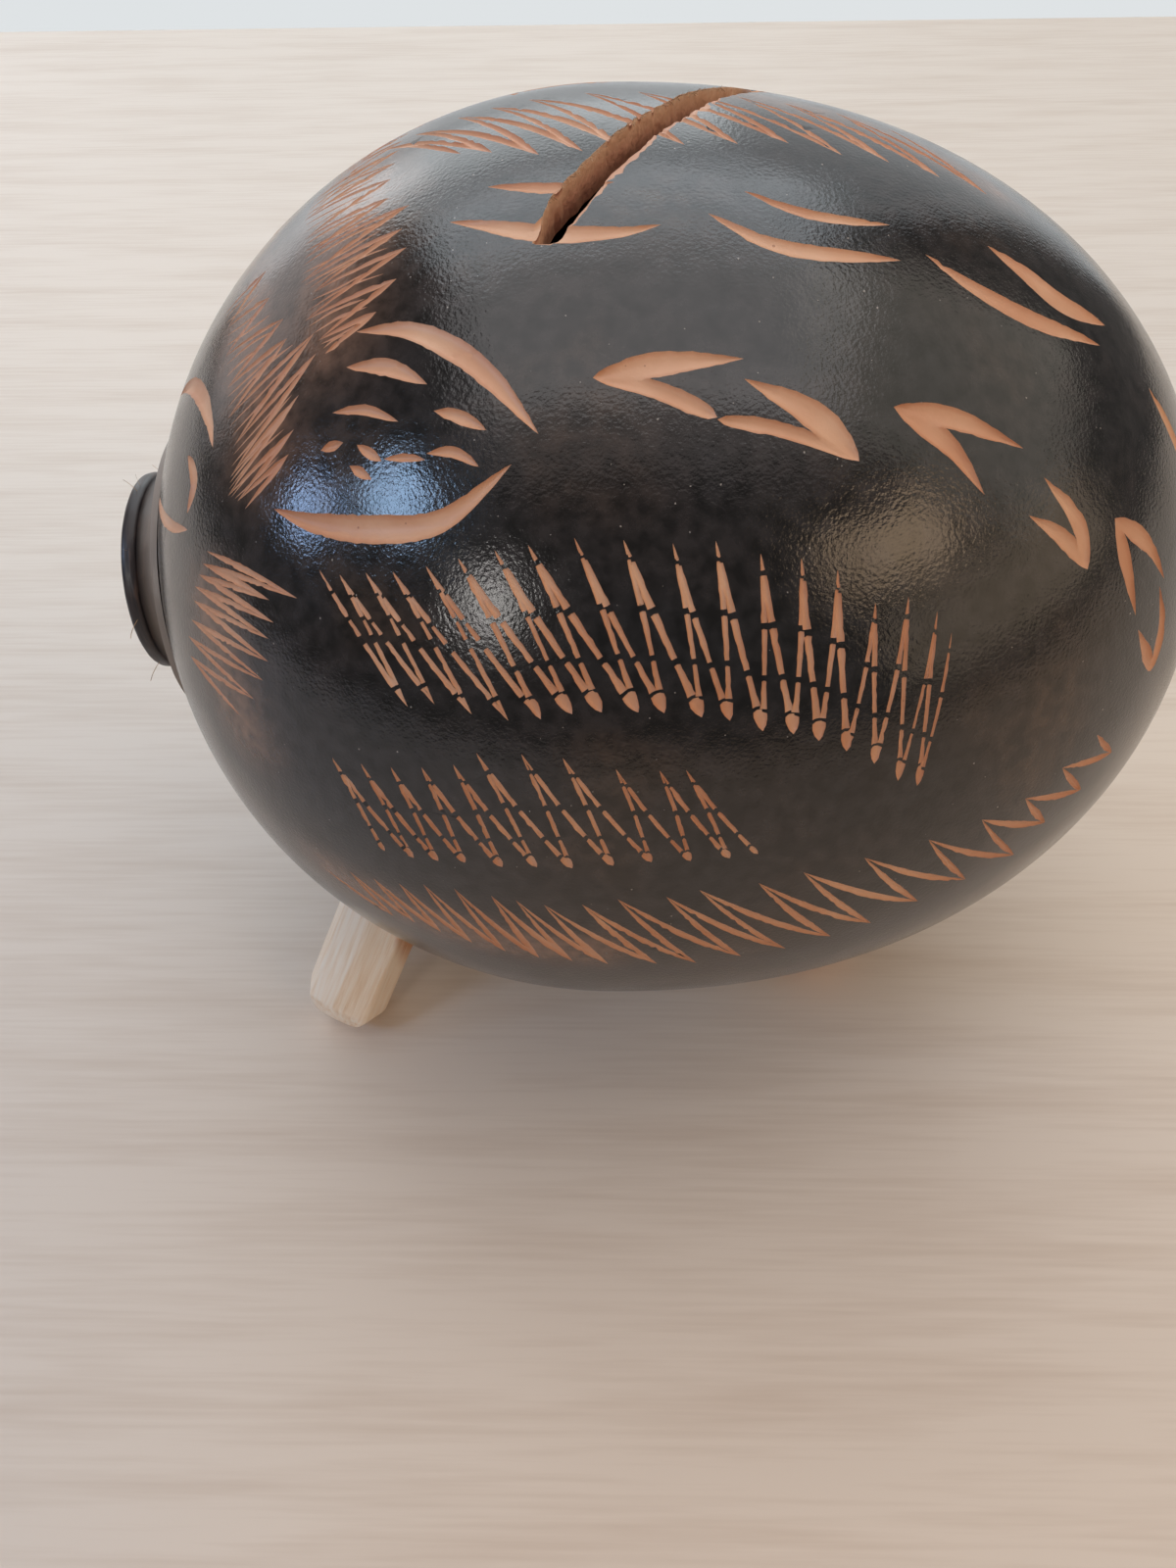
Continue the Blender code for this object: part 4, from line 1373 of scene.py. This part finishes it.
# flesh laid bare by the knife: dry, flat, pale tan, a little redder where the cut runs out into the dyed skin
def carvedMaterial():
    material, tree, shader = newMaterial("carvedTanFlesh")
    place = addNode(tree, "ShaderNodeTexCoord").outputs["Object"]
    carveDepthAndNeckReflection = addNode(tree, "ShaderNodeAttribute", attribute_name="carveDepthAndNeckReflection").outputs["Fac"]
    grit = addNode(tree, "ShaderNodeTexNoise", {"Vector": place, "Scale": 1 / (0.5 * mm), "Detail": 4.0})
    uneven = addNode(tree, "ShaderNodeMath", {0: grit, 1: 0.4, 2: carveDepthAndNeckReflection}, operation="MULTIPLY_ADD")
    tone = addNode(tree, "ShaderNodeValToRGB", {"Fac": uneven},
                   stops=[(0.05, "#af7e5e"), (0.25, "#c8926d"), (0.6, "#d49e7a"), (0.95, "#dcab88")])
    patches = addNode(tree, "ShaderNodeTexNoise", {"Vector": place, "Scale": 1 / (11 * mm), "Detail": 3.0})
    cast = addNode(tree, "ShaderNodeValToRGB", {"Fac": patches}, stops=[(0.35, "#eed9cc"), (0.65, "#ffffff")])
    flesh = addNode(tree, "ShaderNodeMix", {factor: 1.0, under: tone, over: cast}, data_type="RGBA",
                    blend_type="MULTIPLY")
    cells = addNode(tree, "ShaderNodeTexVoronoi", {"Vector": place, "Scale": 1 / (1.1 * mm)})
    size = addNode(tree, "ShaderNodeMapRange",
                   {"Value": cells.outputs["Color"], "From Min": 0.72, "From Max": 1.0, "To Min": 0.0,
                    "To Max": 0.16})
    pit = addNode(tree, "ShaderNodeMath", {0: cells, 1: size}, operation="LESS_THAN")
    pitted = addNode(tree, "ShaderNodeMath", {0: pit, 1: 0.55}, operation="MULTIPLY")
    spotted = addNode(tree, "ShaderNodeMix", {factor: pitted, under: flesh, over: colour("#8a5438")},
                      data_type="RGBA")
    dents = addNode(tree, "ShaderNodeBump", {"Height": grit, "Distance": 0.03 * mm, "Strength": 1.0})
    fill(tree, shader,
         {"Base Color": spotted, "Roughness": 0.6, "IOR": 1.45, "Coat Weight": 0.4,
          "Coat Roughness": 0.35, "Normal": dents})
    return material


# the sawn wall of the slot: velvety torn fibre, golden at the lip and red-brown deeper down
def kerfMaterial():
    material, tree, shader = newMaterial("sawnShellFibre")
    place = addNode(tree, "ShaderNodeTexCoord").outputs["Object"]
    deep = addNode(tree, "ShaderNodeAttribute", attribute_name="carveDepthAndNeckReflection").outputs["Fac"]
    strands = addNode(tree, "ShaderNodeTexNoise", {"Vector": place, "Scale": 1 / (0.5 * mm), "Detail": 5.0})
    level = addNode(tree, "ShaderNodeMath", {0: strands, 1: 0.5, 2: deep}, operation="MULTIPLY_ADD")
    tone = addNode(tree, "ShaderNodeValToRGB", {"Fac": level},
                   stops=[(0.2, "#f2d2b8"), (0.42, "#e3b594"), (0.75, "#cd967b"), (1.0, "#9c6652")])
    torn = addNode(tree, "ShaderNodeBump", {"Height": strands, "Distance": 0.2 * mm, "Strength": 0.8})
    fill(tree, shader,
         {"Base Color": tone, "Roughness": 0.85, "Sheen Weight": 0.6, "Sheen Tint": colour("#e8b98f"),
          "Normal": torn})
    return material


# the scraped inside of the fruit: dull brown with dark stains
def insideMaterial():
    material, tree, shader = newMaterial("scrapedInside")
    place = addNode(tree, "ShaderNodeTexCoord").outputs["Object"]
    stains = addNode(tree, "ShaderNodeTexNoise", {"Vector": place, "Scale": 1 / (6 * mm), "Detail": 6.0})
    tone = addNode(tree, "ShaderNodeValToRGB", {"Fac": stains}, stops=[(0.35, "#2c1d14"), (0.65, "#6b4a32")])
    scratches = addNode(tree, "ShaderNodeBump", {"Height": stains, "Distance": 0.4 * mm, "Strength": 0.8})
    fill(tree, shader, {"Base Color": tone, "Roughness": 0.85, "Normal": scratches})
    return material


# the collar and the stopper: the same dyed rind, filed smooth, with turned streaks, and a pale painted
# reflection on the collar's neck behind the rim
def ringMaterial():
    material, tree, shader = newMaterial("filedDarkRind")
    place = addNode(tree, "ShaderNodeTexCoord").outputs["Object"]
    drawn = addNode(tree, "ShaderNodeMapping", {"Vector": place, "Scale": (5, 0.6, 0.6)})
    streaks = addNode(tree, "ShaderNodeTexNoise", {"Vector": drawn, "Scale": 1 / (2.4 * mm), "Detail": 5.0})
    tone = addNode(tree, "ShaderNodeValToRGB", {"Fac": streaks},
                   stops=[(0.34, "#262223"), (0.56, "#352c2b"), (0.72, "#574238")])
    # painted reflection: the collar's neck is mixed towards a pale grey-brown where light would glance off it
    paintedNeckReflection = addNode(tree, "ShaderNodeAttribute", attribute_name="carveDepthAndNeckReflection").outputs["Fac"]
    wearAndPaintedLight = addNode(tree, "ShaderNodeMath", {0: paintedNeckReflection, 1: 0.75}, operation="MULTIPLY")
    toneWithPaintedReflection = addNode(tree, "ShaderNodeMix", {factor: wearAndPaintedLight, under: tone, over: colour("#a99a8e")},
                   data_type="RGBA")
    gloss = addNode(tree, "ShaderNodeMapRange",
                    {"Value": streaks, "From Min": 0.3, "From Max": 0.7, "To Min": 0.3, "To Max": 0.46})
    filed = addNode(tree, "ShaderNodeBump", {"Height": streaks, "Distance": 0.06 * mm, "Strength": 1.0})
    fill(tree, shader, {"Base Color": toneWithPaintedReflection, "Roughness": gloss, "Normal": filed})
    return material


# the pegs: pale softwood straight off the knife, with long grain, and a painted shade in brown on the tailward
# side, the side turned from the light
def pegMaterial():
    material, tree, shader = newMaterial("whittledPaleWood")
    grain = addNode(tree, "ShaderNodeAttribute", attribute_name="grain").outputs["Vector"]
    drawn = addNode(tree, "ShaderNodeMapping", {"Vector": grain, "Scale": (1, 1, 0.07)})
    lines = addNode(tree, "ShaderNodeTexNoise",
                    {"Vector": drawn, "Scale": 1.5, "Detail": 6.0, "Distortion": 0.3})
    tone = addNode(tree, "ShaderNodeValToRGB", {"Fac": lines},
                   stops=[(0.3, "#eecfae"), (0.5, "#fae4cc"), (0.7, "#fff0de")])
    paintedShadeSide = addNode(tree, "ShaderNodeAttribute", attribute_name="paintedShadeSide").outputs["Fac"]
    edge = addNode(tree, "ShaderNodeMath", {0: lines, 1: 0.5, 2: paintedShadeSide}, operation="MULTIPLY_ADD")
    share = addNode(tree, "ShaderNodeMapRange",
                    {"Value": edge, "From Min": 0.2, "From Max": 0.45, "To Min": 0.0, "To Max": 0.9},
                    clamp=True)
    # painted shade: the tailward side is mixed towards brown
    wood = addNode(tree, "ShaderNodeMix", {factor: share, under: tone, over: colour("#c4834f")},
                   data_type="RGBA")
    fine = addNode(tree, "ShaderNodeTexNoise", {"Vector": drawn, "Scale": 5.0, "Detail": 3.0})
    ridges = addNode(tree, "ShaderNodeBump", {"Height": fine, "Distance": 0.08 * mm, "Strength": 1.0})
    fill(tree, shader, {"Base Color": wood, "Roughness": 0.5, "Normal": ridges})
    return material


# loose fibres of the shell: dry, pale and thin
def fibreMaterial():
    material, tree, shader = newMaterial("dryShellFibre")
    place = addNode(tree, "ShaderNodeTexCoord").outputs["Object"]
    change = addNode(tree, "ShaderNodeTexNoise", {"Vector": place, "Scale": 1 / (1.2 * mm), "Detail": 2.0})
    tone = addNode(tree, "ShaderNodeValToRGB", {"Fac": change}, stops=[(0.35, "#8f6747"), (0.6, "#d0ab84")])
    fill(tree, shader, {"Base Color": tone, "Roughness": 0.75})
    return material


# the table: a plain pale laminate, satin, with faint long streaks of printed grain, and a painted shade over
# its front, greyer to the left and warmer to the right
def tableMaterial():
    material, tree, shader = newMaterial("paleTableTop")
    place = addNode(tree, "ShaderNodeTexCoord").outputs["Object"]
    broad = addNode(tree, "ShaderNodeMapping", {"Vector": place, "Scale": (1, 9, 1)})
    bands = addNode(tree, "ShaderNodeTexNoise", {"Vector": broad, "Scale": 1 / (60 * mm), "Detail": 3.0})
    drawn = addNode(tree, "ShaderNodeMapping", {"Vector": place, "Scale": (1, 26, 1)})
    fine = addNode(tree, "ShaderNodeTexNoise", {"Vector": drawn, "Scale": 1 / (22 * mm), "Detail": 4.0})
    streaks = addNode(tree, "ShaderNodeMath", {0: fine, 1: 0.8, 2: bands}, operation="MULTIPLY_ADD")
    tone = addNode(tree, "ShaderNodeValToRGB", {"Fac": streaks},
                   stops=[(0.6, studio["floorDark"]), (1.0, studio["floorPale"])])
    # painted shade: towards the front the table's colour is multiplied by a tint that is grey on the left and
    # warm on the right, a painted shadow with a painted warm light
    parts = addNode(tree, "ShaderNodeSeparateXYZ", {"Vector": place})
    side = addNode(tree, "ShaderNodeMapRange",
                   {"Value": parts.outputs["X"], "From Min": -0.14, "From Max": 0.02, "To Min": 0.0,
                    "To Max": 1.0}, interpolation_type="SMOOTHSTEP")
    front = addNode(tree, "ShaderNodeMapRange",
                    {"Value": parts.outputs["Y"], "From Min": 0.1, "From Max": -0.1, "To Min": 0.0,
                     "To Max": 1.0}, interpolation_type="SMOOTHSTEP")
    paintedShadeTint = addNode(tree, "ShaderNodeMix",
                   {factor: side, under: colour(studio["paintedShadeLeft"]), over: colour(studio["paintedWarmLightRight"])},
                   data_type="RGBA")
    wearAndPaintedLight = addNode(tree, "ShaderNodeMix", {factor: front, under: tone, over: paintedShadeTint}, data_type="RGBA",
                   blend_type="MULTIPLY")
    fill(tree, shader, {"Base Color": wearAndPaintedLight, "Roughness": 0.5})
    return material


# the wall far behind the table: plain and pale, as the camera and the gloss see it
def wallMaterial():
    material, tree, shader = newMaterial("paleWall")
    pale = colour(studio["wall"])
    ray = addNode(tree, "ShaderNodeLightPath")
    seen = addNode(tree, "ShaderNodeMath", {0: ray.outputs["Is Camera Ray"], 1: ray.outputs["Is Glossy Ray"]},
                   operation="MAXIMUM")
    glow = addNode(tree, "ShaderNodeEmission", {"Color": pale, "Strength": 1.0})
    mixed = addNode(tree, "ShaderNodeMixShader", {0: seen, 1: shader, 2: glow})
    fill(tree, shader, {"Base Color": pale, "Roughness": 0.9})
    fill(tree, tree.nodes["Material Output"], {"Surface": mixed})
    return material


# the studio: a pale table, a pale wall far behind it, a broad window at the back and small panes on the left
studio = {
    "floorDark": "#dfd1c3",
    "floorPale": "#ebe0d4",
    # painted shade and painted warm light for the table's front: the tint of its left side, then of its right
    # side
    "paintedShadeLeft": "#dfdfe2",                    # the table is a little darker in front, and warmer to the right
    "paintedWarmLightRight": "#f5ebe2",
    "wall": "#dfe3e5",
    "tableEdge": 0.388,                       # metres to the table's back edge, then to its sides and front
    "tableReach": (-0.6, 3, -2),
    "wallPlace": 2.3,                         # how far back the wall is, its half width, its foot and its top
    "wallReach": (1.7, -2.5, 3),
    "ambient": ((1.0, 0.95, 0.90), 0.13),
    # azimuth from +X, elevation, distance, width, height in metres, radiance, colour
    "panels": {
        "backWindow": (102, 22, 1.9, 1.4, 0.8, 1.25, (0.88, 0.95, 0.98)),
        "leftBack": (134, 12, 1.7, 1.2, 0.9, 0.8, (1.0, 0.93, 0.92)),
        "ceilingBack": (95, 52, 1.7, 1.6, 0.7, 1.8, (0.86, 0.94, 1.0)),
        "ceiling": (90, 82, 1.6, 1.8, 1.3, 1.3, (1.0, 0.98, 0.98)),
        "ceilingFront": (272, 72, 1.5, 1.7, 0.6, 0.42, (1.0, 0.88, 0.84)),
        "rightWall": (8, 42, 1.6, 1.3, 1.3, 0.7, (1.0, 0.92, 0.78)),
        "leftPaneLow": (187, 20.5, 1.1, 0.17, 0.17, 11.0, (0.42, 0.62, 1.0)),
        "leftPaneHigh": (205, 36.5, 1.1, 0.26, 0.21, 11.5, (0.44, 0.67, 1.0)),
        "softSpot": (240, 28, 1.1, 0.20, 0.24, 6.8, (1.0, 0.96, 0.92)),
        "warmRight": (322, 33, 1.2, 0.50, 0.30, 2.9, (1.0, 0.71, 0.46)),
        "rightLow": (338, 13, 1.6, 1.5, 0.5, 0.85, (1.0, 0.76, 0.52)),
    },
}


def addPanel(name, azimuth, elevation, distance, width, height, radiance, tint):
    data = bpy.data.lights.new(name, "AREA")
    data.shape = "RECTANGLE"
    data.size, data.size_y = width, height
    data.energy = radiance * math.pi * width * height
    data.color = tint
    lamp = toScene(name, data)
    az, el = math.radians(azimuth), math.radians(elevation)
    away = Vector((math.cos(el) * math.cos(az), math.cos(el) * math.sin(az), math.sin(el)))
    lamp.location = middle * mm + away * distance
    lamp.rotation_euler = away.to_track_quat("Z", "Y").to_euler()
    lamp.visible_camera = False


def addStudio():
    world = bpy.data.worlds.new("roomLight")
    bpy.context.scene.world = world
    world.use_nodes = True
    background = world.node_tree.nodes["Background"]
    tint, strength = studio["ambient"]
    fill(world.node_tree, background, {"Color": (*tint, 1), "Strength": strength})
    edge = studio["tableEdge"]
    left, right, front = studio["tableReach"]
    corners = [(left, front, 0), (right, front, 0), (right, edge, 0), (left, edge, 0)]
    table = bpy.data.meshes.new("tableTop")
    table.from_pydata(corners, [], [(0, 1, 2, 3)])
    newPiece("tableTop", table, [tableMaterial()])
    far = studio["wallPlace"]
    half, foot, top = studio["wallReach"]
    corners = [(-half, far, foot), (half, far, foot), (half, far, top), (-half, far, top)]
    wall = bpy.data.meshes.new("backWall")
    wall.from_pydata(corners, [], [(0, 1, 2, 3)])
    newPiece("backWall", wall, [wallMaterial()])
    for name, panel in studio["panels"].items():
        addPanel(name, *panel)
    bpy.context.scene.view_settings.view_transform = "Standard"


addCamera()
print("camera in place")

shell = buildShell([rindMaterial(), carvedMaterial(), kerfMaterial(), insideMaterial()])
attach(shell, "bank")
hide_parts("shell")
print("shell carved")

ringFinish = ringMaterial()
collar = buildCollar(ringFinish)
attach(collar, "bank")
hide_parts("snout_collar")
plug = buildPlug(ringFinish)
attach(plug, "stopper")
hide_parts("snout_plug")
print("snout built")

pegFinish = pegMaterial()
chance = random.Random(4)
for name in legs:
    leg = buildLeg(name, pegFinish, chance)
    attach(leg, "bank")
    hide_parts(name)
print("pegs whittled")

tree = fibreTree(fibreMaterial())
lipPlace, lipLean = slotLip(slotEdge)
lip = addFibres("slot_fibres", lipPlace, lipLean, "lip", tree)
behind, radius, count = fibres["snoutLine"]
rimLine = turnedRing(rimFront + behind, radius, count)
rimLean = (rimLine - origin) * (0, 1, 1) / radius + (fibres["snoutLean"], 0, 0)
hairs = addFibres("snout_fibres", rimLine, rimLean, "snout", tree)
for piece in (lip, hairs):
    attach(piece, "bank")
print("fibres grown")

addStudio()
print("studio lit")
